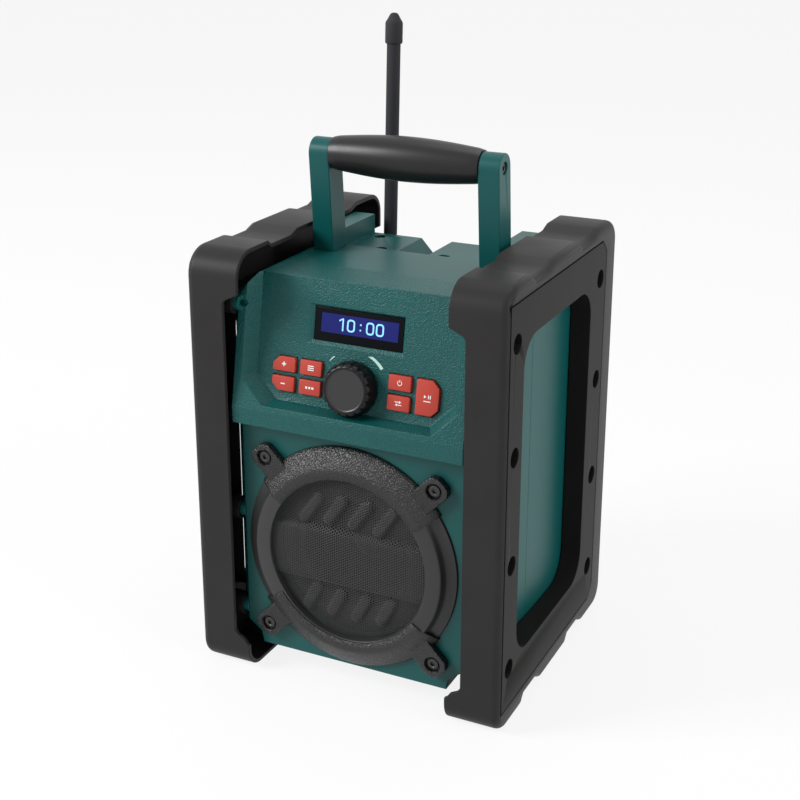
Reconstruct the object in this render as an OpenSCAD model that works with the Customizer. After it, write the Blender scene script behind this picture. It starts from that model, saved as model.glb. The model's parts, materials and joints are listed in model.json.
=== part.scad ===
// Jobsite radio: a green two-part body held between two black side bumpers.
// Seen from the front, +X is the right side, -Y is the front and +Z is up.
// The origin lies on the ground, under the middle of the bumpers.
// Most pieces are drawn with Y counted back from the front of the bumpers.

/* [Bumpers] */
// Width over both bumpers
overall_w = 220; // [216:1:240]
// Depth of the bumpers, front to rear
bumper_d = 202; // [200:1:212]
// Height of the bumpers, ground to top
bumper_h = 294; // [292:1:300]
// Wall of the bumper rim
bumper_wall = 3; // [2.5:0.5:3.5]
// How far the rim wraps inwards along the top, the bottom and the four tabs
rim_reach = 37.6; // [34:0.2:38]
// How far the rim wraps inwards between the tabs, front and rear
strip_reach = 26.7; // [24:0.1:28]
// Height of the top tabs
top_tab_h = 32; // [28:1:38]
// Height at which the bottom tabs end
bottom_tab_z = 28; // [26:1:34]
// Radius of the front top corner, seen from the side
front_top_r = 18; // [14:1:22]
// Radius of the three other corners, seen from the side
corner_r = 15; // [11:1:18]
// Radius of the outer edge, all the way round
edge_r = 5; // [3:0.5:5.5]
// Depth of the two recesses along the top
top_step = 3; // [2:0.5:4]
// Depth of the two recesses between the feet
foot_step = 5; // [3:0.5:5.5]

/* [Side plates] */
// Thickness of the side plate's panel
plate_t = 3; // [2.5:0.5:3.5]
// Gap all round between the plate and the bumper
plate_gap = 0.8; // [0.5:0.1:1]
// Inset of the plate from the front and from the top and bottom
plate_inset = 5; // [5:0.5:6]
// Border of the plate in front of and behind its window
plate_border = 23; // [22:0.5:25]
// Corner radius of the window
window_r = 20; // [12:1:24]
// Screws in each column
plate_screw_count = 4; // [3:1:5]
// Radius of a screw's counterbore
cup_r = 6.3; // [5.5:0.1:6.5]

/* [Body] */
// Wall of the two shells
wall = 3; // [2.5:0.5:3.5]
// Gap from a bumper's outer face to the body's crowned side
side_gap = 14; // [14:0.5:16]
// Width of the flat front around the speaker
baffle_w = 159; // [156:1:160]
// Gap between the rims along the top and the upper part of the body
rim_gap = 0.4; // [0.3:0.1:1]
// Set-back of the body's back from the rear of the bumpers
back_gap = 16; // [14:0.5:20]
// Set-back of the baffle from the front of the bumpers
baffle_y = 13; // [12:0.5:15]
// Height of the underside above the ground
body_z = 17; // [14:0.5:19]
// Drop of the body's top below the top of the bumpers
top_drop = 17.5; // [15:0.5:19]
// Drop of the shelf behind the raised blocks below the body's top
shelf_drop = 26.5; // [23:0.5:30]
// Depth at which the side seam runs
seam_y = 82; // [76:1:88]
// Depth at which the seam on top runs
ledge_y = 113.5; // [112:0.5:116]

/* [Control head] */
// Width of the control head
head_w = 163; // [160:1:164]
// Height of the head's lower edge
head_z = 180; // [178:0.5:182]
// Backward tilt of the control panel, in degrees
panel_tilt = 10.5; // [8:0.5:12]
// Depth of the panel below the head's frame
panel_recess = 10; // [8:0.5:11]
// Height of the knob's centre on the panel
knob_z = 212; // [211:0.5:213]

/* [Buttons, knob and display] */
// Height of a small button
button_h = 9.6; // [9:0.1:10]
// Width of a small button
button_w = 15.5; // [14:0.1:16]
// Gap between the two rows of buttons
button_gap = 3.2; // [2.6:0.1:4]
// How far a button stands out of the panel
button_rise = 2; // [1.5:0.1:2.5]
// How far a button travels
button_travel = 1; // [0.6:0.1:1.2]
// Gap round a button in the panel
button_clear = 0.3; // [0.2:0.05:0.4]
// Radius of the knob's skirt
knob_r = 17.5; // [16:0.5:18]
// Radius of the knob's face
knob_face_r = 14; // [12:0.5:15]
// Height of the knob above the panel
knob_h = 12; // [10:0.5:14]
// Grooves round the knob
knob_flutes = 18; // [12:1:24]
// Radius of the encoder's shaft
shaft_r = 3; // [2.5:0.1:3.5]
// Width of the display window
display_w = 62.6; // [58:0.2:66]
// Height of the display window
display_h = 21.8; // [20:0.2:23]

/* [Speaker] */
// Radius of the speaker opening in the ring
mesh_r = 56.7; // [54:0.1:57]
// Radius of the ring's smooth front face
ring_r = 67; // [65:0.5:68]
// Radius of the ring's raised arcs at the baffle
arc_r = 77.5; // [75:0.5:78]
// How far the ring stands out of the baffle
ring_rise = 8; // [7:0.5:8.5]
// Half the spacing of the ring's screws
lug_half = 60.6; // [60:0.1:61]
// Height of the speaker's centre
speaker_z = 96.6; // [96:0.1:98]
// Depth of the speaker behind the baffle
speaker_depth = 62; // [54:1:66]

/* [Handle] */
// Width of the body's top that is left outside each post
post_edge = 4.2; // [4:0.2:7]
// Width of a post
post_w = 14.8; // [13:0.2:16]
// Depth of a post
post_d = 19.5; // [18:0.5:21]
// Height of the grip's axis above the body
grip_rise = 67; // [60:1:75]
// Forward lean of the handle, in degrees
handle_lean = 4.8; // [0:0.2:6]
// Radius of the grip in the middle
grip_r = 14.7; // [14:0.1:18]
// Radius of the grip at its ends
grip_end_r = 11.1; // [10.5:0.1:13.5]
// Radius of the rod inside the grip
rod_r = 4; // [3:0.5:5]

/* [Antenna] */
// Sideways place of the antenna
antenna_x = -49; // [-50:1:-46]
// Distance of the antenna behind the raised blocks
antenna_back = 10; // [10:0.5:12]
// Length of the antenna above its pivot
antenna_len = 167; // [150:1:175]
// Radius of the rubber rod
antenna_r = 4.8; // [4:0.1:5.2]
// Backward lean at rest, in degrees
antenna_lean = 2.4; // [0:0.2:4]

/* [Battery bay] */
// Width of the battery door
door_w = 120; // [120:1:124]
// Height of the battery door
door_h = 96; // [94:1:100]
// Radius of one cell
cell_r = 13.1; // [12.8:0.1:13.2]
// Length of one cell
cell_len = 50; // [49:0.5:50.5]

/* [Hidden] */
$fn = 64;

eps = 0.01;
// Radial clearance of a pin or shaft that turns
fit = 0.05;
half_w = overall_w / 2;
top_tab_z = bumper_h - top_tab_h;
top_z = bumper_h - top_drop;
shelf_z = top_z - shelf_drop;
body_w = overall_w - 2 * side_gap;
top_w = overall_w - 2 * rim_reach - 2 * rim_gap;
body_d = bumper_d - baffle_y - back_gap;
handle_clear = top_w - 2 * (post_w + post_edge);
plate_back = half_w - plate_t;
flange_t = 3;
channel_x = plate_back - flange_t;

// Recesses along the top and bottom of a bumper
step_front = 4;
step_rear = 9;
recess_len = 38;
recess_1 = bumper_d * 0.2;
recess_2 = recess_1 + bumper_d * 0.42;

// Side plate
plate_y0 = plate_inset;
plate_y1 = bumper_d - 22;
plate_z0 = plate_inset + 9.5;
plate_z1 = bumper_h - plate_inset - 6;
plate_chamfer = 8;
window_y0 = plate_y0 + plate_border;
window_y1 = plate_y1 - plate_border - 6;
window_z0 = plate_z0 + 28.5;
window_z1 = plate_z1 - 26.5;
window_wall = 2.5;
cup_wall = 1.3;
cup_depth = 9;
cup_floor = 2;
cup_x = half_w - cup_depth - cup_floor;
sleeve_x = head_w / 2 + 0.8;
side_clear = 0.6;
screw_r = 2;
screw_clear_r = 2.3;
screw_y0 = plate_y0 + 11;
screw_y1 = plate_y1 - 11;
screw_z0 = plate_z0 + 27.5;
screw_z1 = plate_z1 - 25;
screw_pitch = (screw_z1 - screw_z0) / (plate_screw_count - 1);
plate_screw_z = [for (i = [0 : plate_screw_count - 1]) screw_z0 + i * screw_pitch];

// Body
body_y1 = baffle_y + body_d;
shelf_d = 26;
block_y1 = body_y1 - shelf_d;
head_back = baffle_y + 60;
head_top_y = head_back - 10;
shoulder_z = top_z - 14.5;
block_z = top_z - 2.5;
cheek_z = top_z + 11;
cheek_x = handle_clear / 2 + 3;
seam_z = shoulder_z - 5;
bracket_t = 2.5;
bracket_z = shoulder_z - 4;
side_r = 790;
boss_r = 5;
shell_post_x = 68;
shell_post_r = 4.6;
shell_post_z = [body_z + 19, shelf_z - 18];

// Panel frame: the knob's centre on the panel's surface
panel_y = baffle_y + 5;
frame_y = panel_y - panel_recess / cos(panel_tilt);
lip_z = 191;
frame_slope = tan(panel_tilt);
function panel_y_at(z) = panel_y + (z - knob_z) * frame_slope;
function frame_y_at(z) = frame_y + (z - knob_z) * frame_slope;
lip_y = frame_y_at(lip_z);
panel_start_z = knob_z + (baffle_y + wall - panel_y - wall / cos(panel_tilt)) / frame_slope;
panel_half = 70.5;
bevel = 6.5;
panel_low = -15.8;
panel_high = (top_z - knob_z) / cos(panel_tilt) + 8;
panel_cut = 16;

// Buttons: centre in the panel, width, height and cut corners
row_v = (button_h + button_gap) / 2;
row_mid = 2;
outer_x = 49.5;
inner_x = 30;
right_x = 32.6;
enter_x = 51.8;
flange_side = 1.4;
flange_h = 1.4;
dome_h = 2.5;
mat_t = 1.5;
board_t = 1.6;
mat_top = -wall - flange_h - button_travel - 0.3 - dome_h;
board_top = mat_top - mat_t;

// Knob and encoder
knob_gap = 0.5;
knob_bore_h = 8;
shaft_top = knob_gap + knob_bore_h - 0.3;
bushing_r = 3.5;
nut_h = 1.6;
encoder_w = 12;

// Display
display_v = 37.6;
glass_recess = 1.5;
glass_t = 1.7;
glass_fit = 0.1;
module_grow = 2.6;
board_v0 = -20;
board_v1 = display_v + display_h / 2 + 5;
board_half_w = top_w / 2 - 10;

// Speaker
grille_y = baffle_y - 3.8;
grille_t = 1;
ring_y = baffle_y - ring_rise;
lug_r = norm([lug_half, lug_half]);
lug_w = 17;
lug_rise = 5.5;
lug_bore_r = 5.3;
band_half = 19.2;
gasket_t = 1.5;
surround_t = 0.8;
basket_t = 2;
basket_r = mesh_r - 4;
flange_r = mesh_r + 7;
speaker_screw_r = mesh_r + 3.5;
cone_r = basket_r - 11;
throat_r = 14;
magnet_r = 36;
magnet_t = 17;
// Places along the speaker's axis, counted from the baffle
basket_front = -wall - gasket_t - surround_t;
magnet_front = basket_front - speaker_depth + magnet_t + 4;
cone_back = magnet_front + 14;

// Handle
handle_y = ledge_y - 12;
post_x0 = handle_clear / 2;
post_fit = 0.15;

// Antenna
antenna_y = block_y1 + antenna_back;
pivot_z = shelf_z + 10;
knuckle_t = 8;
pin_r = 1.5;
sleeve_z = 9;
cap_h = 21;
cap_r = antenna_r + 1.3;

// Battery bay
door_t = 3;
door_gap = 0.5;
door_z0 = 43;
door_y = body_y1 - door_t;
hinge_y = body_y1 + 2.6;
hinge_z = door_z0 - 4;
hinge_r = 2.6;
hinge_pin_r = 1.2;
door_collar_r = 3;
door_screw_play = 0.8;
tray_t = 2;
tray_half_w = cell_len + 7;
tray_rows = 3;
cell_pitch = 2 * cell_r + 1;
tray_z0 = door_z0 + 3;
tray_y0 = door_y - 2 * cell_r - 6;

// Main board
board_y = tray_y0 - 2;
main_z0 = 158;
main_z1 = 232;
main_half_w = 56;
jack_z = 205;
audio_x = 18;
inlet_x = 42;
jack_r = 1.8;
inlet_r = 3.2;

green = "#1f5f57";
black = "#2b2b2b";
dark = "#3a3a3a";
red = "#d8402f";

// Points of an arc in the plane, from one angle to another
function arc(cy, cz, r, a0, a1, n = 8) =
    [for (i = [0 : n]) let (a = a0 + (a1 - a0) * i / n) [cy + r * cos(a), cz + r * sin(a)]];

// Outline of a rectangle with round corners
function round_rect(x0, y0, x1, y1, r) = concat(
    arc(x0 + r, y0 + r, r, 180, 270), arc(x1 - r, y0 + r, r, 270, 360),
    arc(x1 - r, y1 - r, r, 0, 90), arc(x0 + r, y1 - r, r, 90, 180));

// One recess of a bumper's edge, from front to rear, drawn at height z and cut by s
function recess(y, z, s) = [
    [y, z], [y + step_front, z + s],
    [y + recess_len - step_rear, z + s], [y + recess_len, z]];

// Outline of a bumper from the side, drawn in by d
function bumper_outline(d) = concat(
    arc(corner_r, corner_r, corner_r - d, 180, 270),
    recess(recess_1, d, foot_step), recess(recess_2, d, foot_step),
    arc(bumper_d - corner_r, corner_r, corner_r - d, 270, 360),
    arc(bumper_d - corner_r, bumper_h - corner_r, corner_r - d, 0, 90),
    reverse(recess(recess_2, bumper_h - d, -top_step)),
    reverse(recess(recess_1, bumper_h - d, -top_step)),
    arc(front_top_r, bumper_h - front_top_r, front_top_r - d, 90, 180));

function reverse(list) = [for (i = [len(list) - 1 : -1 : 0]) list[i]];

// Half width of the crowned side at depth y, widest at crown_y
crown_y = 120;
crown_y0 = baffle_y + 14;
crown_y1 = body_y1 - 10.7;
function side_x(y) = body_w / 2 - pow(y - crown_y, 2) / (2 * side_r);

// Outline of the lower body from above, drawn in by d
function plan_half(d) = concat(
    [[baffle_w / 2 - d, baffle_y + d], [side_x(crown_y0) - d, crown_y0]],
    [for (i = [1 : 6]) let (y = crown_y0 + (crown_y1 - crown_y0) * i / 6) [side_x(y) - d, y]],
    [[side_x(body_y1) - 2 - d, body_y1 - d]]);
function plan(d) = concat(plan_half(d), [for (p = reverse(plan_half(d))) [-p[0], p[1]]]);

// Moves a piece drawn with Y counted from the bumpers' front into place
module from_front() {
    translate([0, -bumper_d / 2, 0]) children();
}

// Extrudes a side view, given as [y, z] points, from x0 to x1
module side_slab(points, x0, x1) {
    translate([x0, 0, 0]) rotate([90, 0, 90]) linear_extrude(x1 - x0) polygon(points);
}

// Extrudes a front view, given as [x, z] points, from y0 to y1
module front_slab(points, y0, y1) {
    translate([0, y1, 0]) rotate([90, 0, 0]) linear_extrude(y1 - y0) polygon(points);
}

// A round bar along X
module x_bar(r, x0, x1, y, z) {
    translate([x0, y, z]) rotate([0, 90, 0]) cylinder(r = r, h = x1 - x0);
}

// A round bar along Y
module y_bar(r, y0, y1, x, z) {
    translate([x, y1, z]) rotate([90, 0, 0]) cylinder(r = r, h = y1 - y0);
}

// Puts children in the panel's own frame: X right, Y up the panel, Z out of it
module on_panel(x = 0, v = 0) {
    from_front() translate([0, panel_y, knob_z]) rotate([90 - panel_tilt, 0, 0])
        translate([x, v, 0]) children();
}

// Puts children in the handle's own frame, which leans forwards
module on_handle() {
    from_front() translate([0, handle_y, top_z]) rotate([handle_lean, 0, 0]) children();
}

// Puts children in the speaker's frame: Z points out of the front, origin on the baffle
module on_speaker() {
    from_front() translate([0, baffle_y, speaker_z]) rotate([90, 0, 0]) children();
}

module both_sides() {
    children();
    mirror([1, 0, 0]) children();
}

// ---------------------------------------------------------------- bumpers

// Closed skin through the outlines at each place across the bumper's outer edge
module bumper_solid() {
    steps = 5;
    inner_x = half_w - rim_reach;
    rings = concat(
        [[inner_x - 1, 0]],
        [for (i = [0 : steps]) let (a = 90 * i / steps)
            [half_w - edge_r + edge_r * sin(a), edge_r * (1 - cos(a))]],
        [[half_w + 1, edge_r]]);
    count = len(bumper_outline(0));
    points = [for (ring = rings, p = bumper_outline(ring[1])) [ring[0], p[0], p[1]]];
    walls = [for (k = [0 : len(rings) - 2], i = [0 : count - 1])
        let (j = (i + 1) % count, a = k * count, b = a + count)
        each [[a + i, b + i, b + j], [a + i, b + j, a + j]]];
    near = [[for (i = [0 : count - 1]) i]];
    far = [[for (i = [count - 1 : -1 : 0]) (len(rings) - 1) * count + i]];
    intersection() {
        polyhedron(points, concat(near, walls, far));
        translate([inner_x, -1, -1]) cube([rim_reach, bumper_d + 2, bumper_h + 2]);
    }
}

function plate_outline(grow) = let (c = plate_chamfer)
    [[plate_y0 - grow, plate_z0 - grow], [plate_y1 - c, plate_z0 - grow],
     [plate_y1 + grow, plate_z0 + c], [plate_y1 + grow, plate_z1 - c],
     [plate_y1 - c, plate_z1 + grow], [plate_y0 - grow, plate_z1 + grow]];

function window_outline(grow) = round_rect(window_y0 - grow, window_z0 - grow,
    window_y1 + grow, window_z1 + grow, window_r + grow);

// Cut that leaves the front and rear rims narrow between their tabs
function strip_cut() = let (x0 = half_w - rim_reach, x1 = half_w - strip_reach)
    [[x0 - 1, bottom_tab_z - 9], [x0 + 1.5, bottom_tab_z - 8], [x0 + 4, bottom_tab_z - 4.5],
     [x1 - 2, bottom_tab_z - 2], [x1, bottom_tab_z + 1],
     [x1, top_tab_z - 1], [x1 - 1.5, top_tab_z + 1], [x0 - 1, top_tab_z + 6]];

module bumper() {
    from_front() difference() {
        bumper_solid();
        side_slab(bumper_outline(bumper_wall), half_w - rim_reach - 1, channel_x);
        side_slab(plate_outline(plate_gap), plate_back, half_w + 1);
        side_slab(window_outline(window_wall + 0.5), channel_x - 1, half_w);
        front_slab(strip_cut(), -1, bumper_wall + eps);
        front_slab(strip_cut(), bumper_d - bumper_wall - eps, bumper_d + 1);
        for (y = [screw_y0, screw_y1], z = plate_screw_z)
            x_bar(cup_r + cup_wall + 0.3, channel_x - 1, half_w, y, z);
    }
}

module left_bumper() {
    color(black) mirror([1, 0, 0]) bumper();
}

module right_bumper() {
    color(black) bumper();
}

// The window's wall follows the body's side, and sleeves hide the front bosses
module side_plate() {
    from_front() difference() {
        union() {
            side_slab(plate_outline(0), plate_back, half_w);
            side_slab(window_outline(window_wall), side_x(window_y0), plate_back + eps);
            for (y = [screw_y0, screw_y1], z = plate_screw_z)
                x_bar(cup_r + cup_wall, cup_x, plate_back + eps, y, z);
            for (z = plate_screw_z) x_bar(cup_r + cup_wall, sleeve_x, cup_x + eps, screw_y0, z);
        }
        translate([0, 0, -1]) linear_extrude(bumper_h + 2) polygon(plan(-side_clear));
        for (z = plate_screw_z) x_bar(boss_r + 0.3, sleeve_x - 1, cup_x, screw_y0, z);
        side_slab(window_outline(0), side_x(window_y0) - 1, half_w + 1);
        for (y = [screw_y0, screw_y1], z = plate_screw_z) {
            x_bar(cup_r, cup_x + cup_floor, half_w + 1, y, z);
            x_bar(screw_clear_r, cup_x - 1, half_w, y, z);
        }
    }
}

module left_side_plate() {
    color(dark) mirror([1, 0, 0]) side_plate();
}

module right_side_plate() {
    color(dark) side_plate();
}

// Pan-head screw along Z with its head's underside at 0 and its shank below
module screw(r, length, head_r, head_h) {
    difference() {
        union() {
            translate([0, 0, -length]) cylinder(r = r, h = length + eps);
            cylinder(r1 = head_r, r2 = head_r * 0.85, h = head_h);
        }
        translate([0, 0, head_h - 1.2]) cylinder(r = head_r * 0.4, h = 2);
    }
}

plate_screw_len = 12;

module plate_screws() {
    from_front() for (y = [screw_y0, screw_y1], z = plate_screw_z)
        translate([cup_x + cup_floor, y, z]) rotate([0, 90, 0])
            screw(screw_r, plate_screw_len, 4, 2.6);
}

module left_plate_screws() {
    color("silver") mirror([1, 0, 0]) plate_screws();
}

module right_plate_screws() {
    color("silver") plate_screws();
}

// ---------------------------------------------------------------- body

// Side view of the front shell, with the head's lip, its tilted frame and the seam
function front_outline() = [
    [baffle_y, 0], [baffle_y, head_z - 4], [lip_y, head_z], [lip_y, lip_z],
    [frame_y_at(top_z), top_z], [ledge_y, top_z], [ledge_y, seam_z],
    [seam_y, seam_z], [seam_y, 0]];

// Side view of the rear shell
function rear_outline() = [
    [seam_y, 0], [body_y1, 0], [body_y1, cheek_z], [ledge_y, cheek_z],
    [ledge_y, seam_z], [seam_y, seam_z]];

// Side view of the space behind the baffle and the panel
function behind_front() = [
    [baffle_y + wall, 0], [baffle_y + wall, panel_start_z],
    [panel_y_at(top_z) + wall / cos(panel_tilt), top_z], [bumper_d, top_z], [bumper_d, 0]];

// The body's lower corners follow the bumpers' tabs; g draws the cut inwards
function corner_cut(g) = [
    [baffle_w / 2 - 11 - g, 0], [baffle_w / 2 - 11 - g, body_z + 1 + g],
    [baffle_w / 2 - 9.5 - g, body_z + 8 + g], [baffle_w / 2 - g, body_z + 15 + g],
    [half_w, body_z + 15 + g], [half_w, 0]];

// The trunk of the body, full width, with the shelf behind the blocks, drawn in by d
module trunk(d) {
    difference() {
        union() {
            translate([0, 0, body_z + d]) linear_extrude(shelf_z - body_z - 2 * d)
                polygon(plan(d));
            intersection() {
                translate([0, 0, shelf_z - d - 1]) linear_extrude(shoulder_z - shelf_z + 1)
                    polygon(plan(d));
                translate([-half_w, 0, 0]) cube([overall_w, block_y1 - d, bumper_h]);
            }
        }
        both_sides() front_slab(corner_cut(d), 0, bumper_d);
    }
}

// Front view of the head, with its upper outer corners cut
function head_outline() = [
    [-head_w / 2, head_z - 4], [head_w / 2, head_z - 4], [head_w / 2, top_tab_z],
    [top_w / 2, top_z], [-top_w / 2, top_z], [-head_w / 2, top_tab_z]];

block_in_left = -19;
block_foot_left = -8;
block_in_right = 4;

// Front view of the two raised blocks, the cheeks beside them and the channel between
function rear_top_outline() = [
    [-top_w / 2, shoulder_z - 1], [top_w / 2, shoulder_z - 1], [top_w / 2, cheek_z],
    [cheek_x, cheek_z], [cheek_x, block_z], [block_in_right, block_z],
    [block_in_right, shoulder_z], [block_foot_left, shoulder_z], [block_in_left, block_z],
    [-cheek_x, block_z], [-cheek_x, cheek_z], [-top_w / 2, cheek_z]];

// Hollow under a block and its cheek, from x to the outer wall on the right
module block_hollow(x) {
    length = block_y1 - ledge_y - wall + 1;
    outer = top_w / 2 - wall;
    translate([x, ledge_y - 1, shoulder_z - wall - 1])
        cube([outer - x, length, block_z - shoulder_z + 1]);
    translate([cheek_x + wall, ledge_y - 1, shoulder_z])
        cube([outer - cheek_x - wall, length, cheek_z - wall - shoulder_z]);
}

// Bosses on the body's side that the plate screws run into
module side_bosses(y, x0) {
    both_sides() for (z = plate_screw_z) difference() {
        x_bar(boss_r, x0, cup_x, y, z);
        x_bar(screw_r, x0 - 1, cup_x + 1, y, z);
    }
}

module side_boss_holes(y, x0) {
    both_sides() for (z = plate_screw_z) x_bar(screw_r, x0, cup_x + 1, y, z);
}

// The recessed panel, sunk into the head and open at the top
module panel_sink() {
    on_panel() hull() {
        linear_extrude(eps) panel_shape(panel_half, panel_low, panel_cut);
        translate([0, 0, panel_recess + 3])
            linear_extrude(eps) panel_shape(panel_half + bevel, panel_low - bevel * 0.75, panel_cut);
    }
}

module panel_shape(half, low, cut) {
    polygon([[-half, panel_high], [-half, low + cut], [-half + cut, low],
        [half - cut, low], [half, low + cut], [half, panel_high]]);
}

// Holes in the panel's wall for the buttons, the encoder and the display
module panel_holes() {
    deep = wall + 2;
    for (b = button_list) on_panel(b[0], b[1]) translate([0, 0, -deep])
        linear_extrude(deep + 1) button_shape(b, button_clear);
    on_panel() translate([0, 0, -deep]) cylinder(r = bushing_r + 0.1, h = deep + 1);
    on_panel() cylinder(r = knob_r + knob_gap, h = panel_recess + 3);
    on_panel(0, display_v) {
        translate([-display_w / 2, -display_h / 2, -deep]) cube([display_w, display_h, deep + 1]);
        hull() {
            translate([-display_w / 2, -display_h / 2, -glass_recess])
                cube([display_w, display_h, eps]);
            translate([-display_w / 2 - 3.5, -display_h / 2 - 2.5, 0])
                cube([display_w + 5, display_h + 3.5, eps]);
        }
    }
}

module front_shell() {
    color(green) difference() {
        union() {
            from_front() intersection() {
                union() {
                    trunk(0);
                    front_slab(head_outline(), 0, head_back);
                    translate([-top_w / 2, head_top_y, shoulder_z - 1])
                        cube([top_w, ledge_y - head_top_y, top_z - shoulder_z + 1]);
                }
                difference() {
                    side_slab(front_outline(), -half_w, half_w);
                    front_hollow();
                }
            }
            from_front() side_bosses(screw_y0, baffle_w / 2 - 1);
            from_front() intersection() {
                shell_posts(baffle_y + 1, seam_y);
                side_slab(front_outline(), -half_w, half_w);
            }
            control_board_bosses();
        }
        panel_sink();
        panel_holes();
        on_speaker() translate([0, 0, -wall - 1]) cylinder(r = mesh_r - 2, h = wall + 2);
        on_speaker() for (a = [45 : 90 : 315]) rotate(a)
            translate([lug_r, 0, -wall - 1]) cylinder(r = screw_r, h = wall + 2);
        on_speaker() for (a = [0 : 90 : 270]) rotate(a)
            translate([speaker_screw_r, 0, -wall - 1]) cylinder(r = 1.5, h = wall + 0.5);
        from_front() side_boss_holes(screw_y0, baffle_w / 2 - 6);
        from_front() for (x = [-shell_post_x, shell_post_x], z = shell_post_z)
            y_bar(screw_r, seam_y - 20, seam_y + 1, x, z);
        both_sides() on_handle() translate([post_x0 - post_fit, -post_d / 2 - post_fit, -8])
            cube([post_w + 2 * post_fit, post_d + 2 * post_fit, 12]);
    }
}

// Space inside the front shell, open at the seam
module front_hollow() {
    intersection() {
        union() {
            trunk(wall);
            translate([-top_w / 2 + wall, baffle_y, shoulder_z - wall - 1])
                cube([top_w - 2 * wall, ledge_y - baffle_y + 1, top_z - shoulder_z + 1]);
        }
        side_slab(behind_front(), -half_w, half_w);
    }
}

// Long posts that the shell screws run into, or through
module shell_posts(y0, y1) {
    for (x = [-shell_post_x, shell_post_x], z = shell_post_z)
        y_bar(shell_post_r, y0, y1, x, z);
}

// Bosses behind the panel that carry the control board
board_boss_x = board_half_w - 4;
board_boss_v = [board_v0 + 3.5, board_v1 - 3.5];
module control_board_bosses() {
    for (x = [-board_boss_x, board_boss_x], v = board_boss_v) on_panel(x, v) difference() {
        translate([0, 0, board_top]) cylinder(r = 3, h = -board_top - 1);
        translate([0, 0, board_top - 1]) cylinder(r = 1.2, h = 6);
    }
}

module rear_shell() {
    color(green) from_front() difference() {
        union() {
            intersection() {
                union() {
                    trunk(0);
                    front_slab(rear_top_outline(), ledge_y, block_y1);
                }
                difference() {
                    side_slab(rear_outline(), -half_w, half_w);
                    trunk(wall);
                    block_hollow(block_in_right + wall);
                    mirror([1, 0, 0]) block_hollow(-block_in_left + wall);
                }
            }
            side_bosses(screw_y1, side_x(screw_y1) - 1);
            both_sides() translate([side_x(screw_y1) - 6, screw_y1 - 3, shelf_z - 6])
                cube([cup_x - 1 - side_x(screw_y1) + 6, 6, screw_z1 - shelf_z + 4]);
            intersection() {
                shell_posts(seam_y, body_y1 - 1);
                trunk(0);
            }
            for (p = block_screw_places) translate([p[0], p[1], bracket_z])
                cylinder(r = block_cup_r + 1.2, h = block_z - bracket_z - 1);
            for (x = [-1, 1] * (main_half_w - 5), z = [main_z0 + 5, main_z1 - 5])
                y_bar(3.5, board_y + board_t, body_y1 - 1, x, z);
            door_frame();
            hinge_ears();
        }
        side_boss_holes(screw_y1, side_x(screw_y1) - 7);
        for (x = [-shell_post_x, shell_post_x], z = shell_post_z) {
            y_bar(screw_clear_r, seam_y - 1, seam_y + 10, x, z);
            y_bar(3.6, seam_y + 8, body_y1 + 1, x, z);
        }
        for (x = [-1, 1] * (main_half_w - 5), z = [main_z0 + 5, main_z1 - 5])
            y_bar(1.2, board_y, board_y + 12, x, z);
        door_opening();
        y_bar(jack_body_r(jack_r), body_y1 - wall - 1, body_y1 + 1, audio_x, jack_z);
        y_bar(jack_body_r(inlet_r), body_y1 - wall - 1, body_y1 + 1, inlet_x, jack_z);
        translate([antenna_x, antenna_y, shelf_z - wall - 1]) cylinder(r = 4.1, h = wall + 2);
        for (p = block_screw_places) {
            translate([p[0], p[1], block_z - block_cup_depth]) cylinder(r = block_cup_r, h = block_cup_depth + 1);
            translate([p[0], p[1], bracket_z - 1]) cylinder(r = 1.7, h = block_z - bracket_z);
        }
    }
}

function jack_body_r(r) = r + 2.4;

// Cups of the four screws in the blocks, and the screws' insets from the blocks' edges
block_cup_r = 4;
block_cup_depth = 8;
block_screw_side = 5;
block_screw_rear = 9;
block_screw_front = 8;
block_screw_left = 13;
block_screw_right = 11;
block_screw_places = [
    [-handle_clear / 2 + block_screw_side, block_y1 - block_screw_rear],
    [block_in_left - block_screw_left, ledge_y + block_screw_front],
    [handle_clear / 2 - block_screw_side, block_y1 - block_screw_rear],
    [block_in_right + block_screw_right, ledge_y + block_screw_front]];

module block_screws() {
    color("silver") from_front() for (p = block_screw_places)
        translate([p[0], p[1], block_z - block_cup_depth])
            screw(1.5, block_z - block_cup_depth - bracket_z + bracket_t, 3.2, 2.2);
}

shell_screw_len = 22;

module shell_screws() {
    color("silver") from_front() for (x = [-shell_post_x, shell_post_x], z = shell_post_z)
        translate([x, seam_y + 8, z]) rotate([-90, 0, 0])
            screw(screw_r, shell_screw_len, 3.4, 2.4);
}

// ---------------------------------------------------------------- handle

foot_y = handle_y + (top_z - bracket_z) * tan(handle_lean);
post_mid = post_x0 + post_w / 2;

module handle_post() {
    difference() {
        on_handle() difference() {
            union() {
                translate([post_x0, -post_d / 2, bracket_z - top_z - 5])
                    cube([post_w, post_d, grip_rise + top_z - bracket_z + 5]);
                x_bar(post_d / 2, post_x0, post_x0 + post_w, 0, grip_rise);
            }
            x_bar(rod_r, post_x0 - 1, post_x0 + post_w - 5, 0, grip_rise);
            x_bar(screw_r, post_x0, post_x0 + post_w + 1, 0, grip_rise);
            x_bar(4, post_x0 + post_w - 3, post_x0 + post_w + 1, 0, grip_rise);
        }
        from_front() translate([0, foot_y - 20, bracket_z - 20]) cube([half_w, 40, 20]);
        from_front() translate([post_mid, foot_y, bracket_z - 1]) cylinder(r = screw_r, h = bracket_screw_grip + 2);
    }
}

bracket_y0 = ledge_y - 24;
bracket_half = top_w / 2 - wall - 1;
bracket_slot_w = 60;
bracket_slot_d = 12;
bracket_screw_grip = 14;

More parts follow.
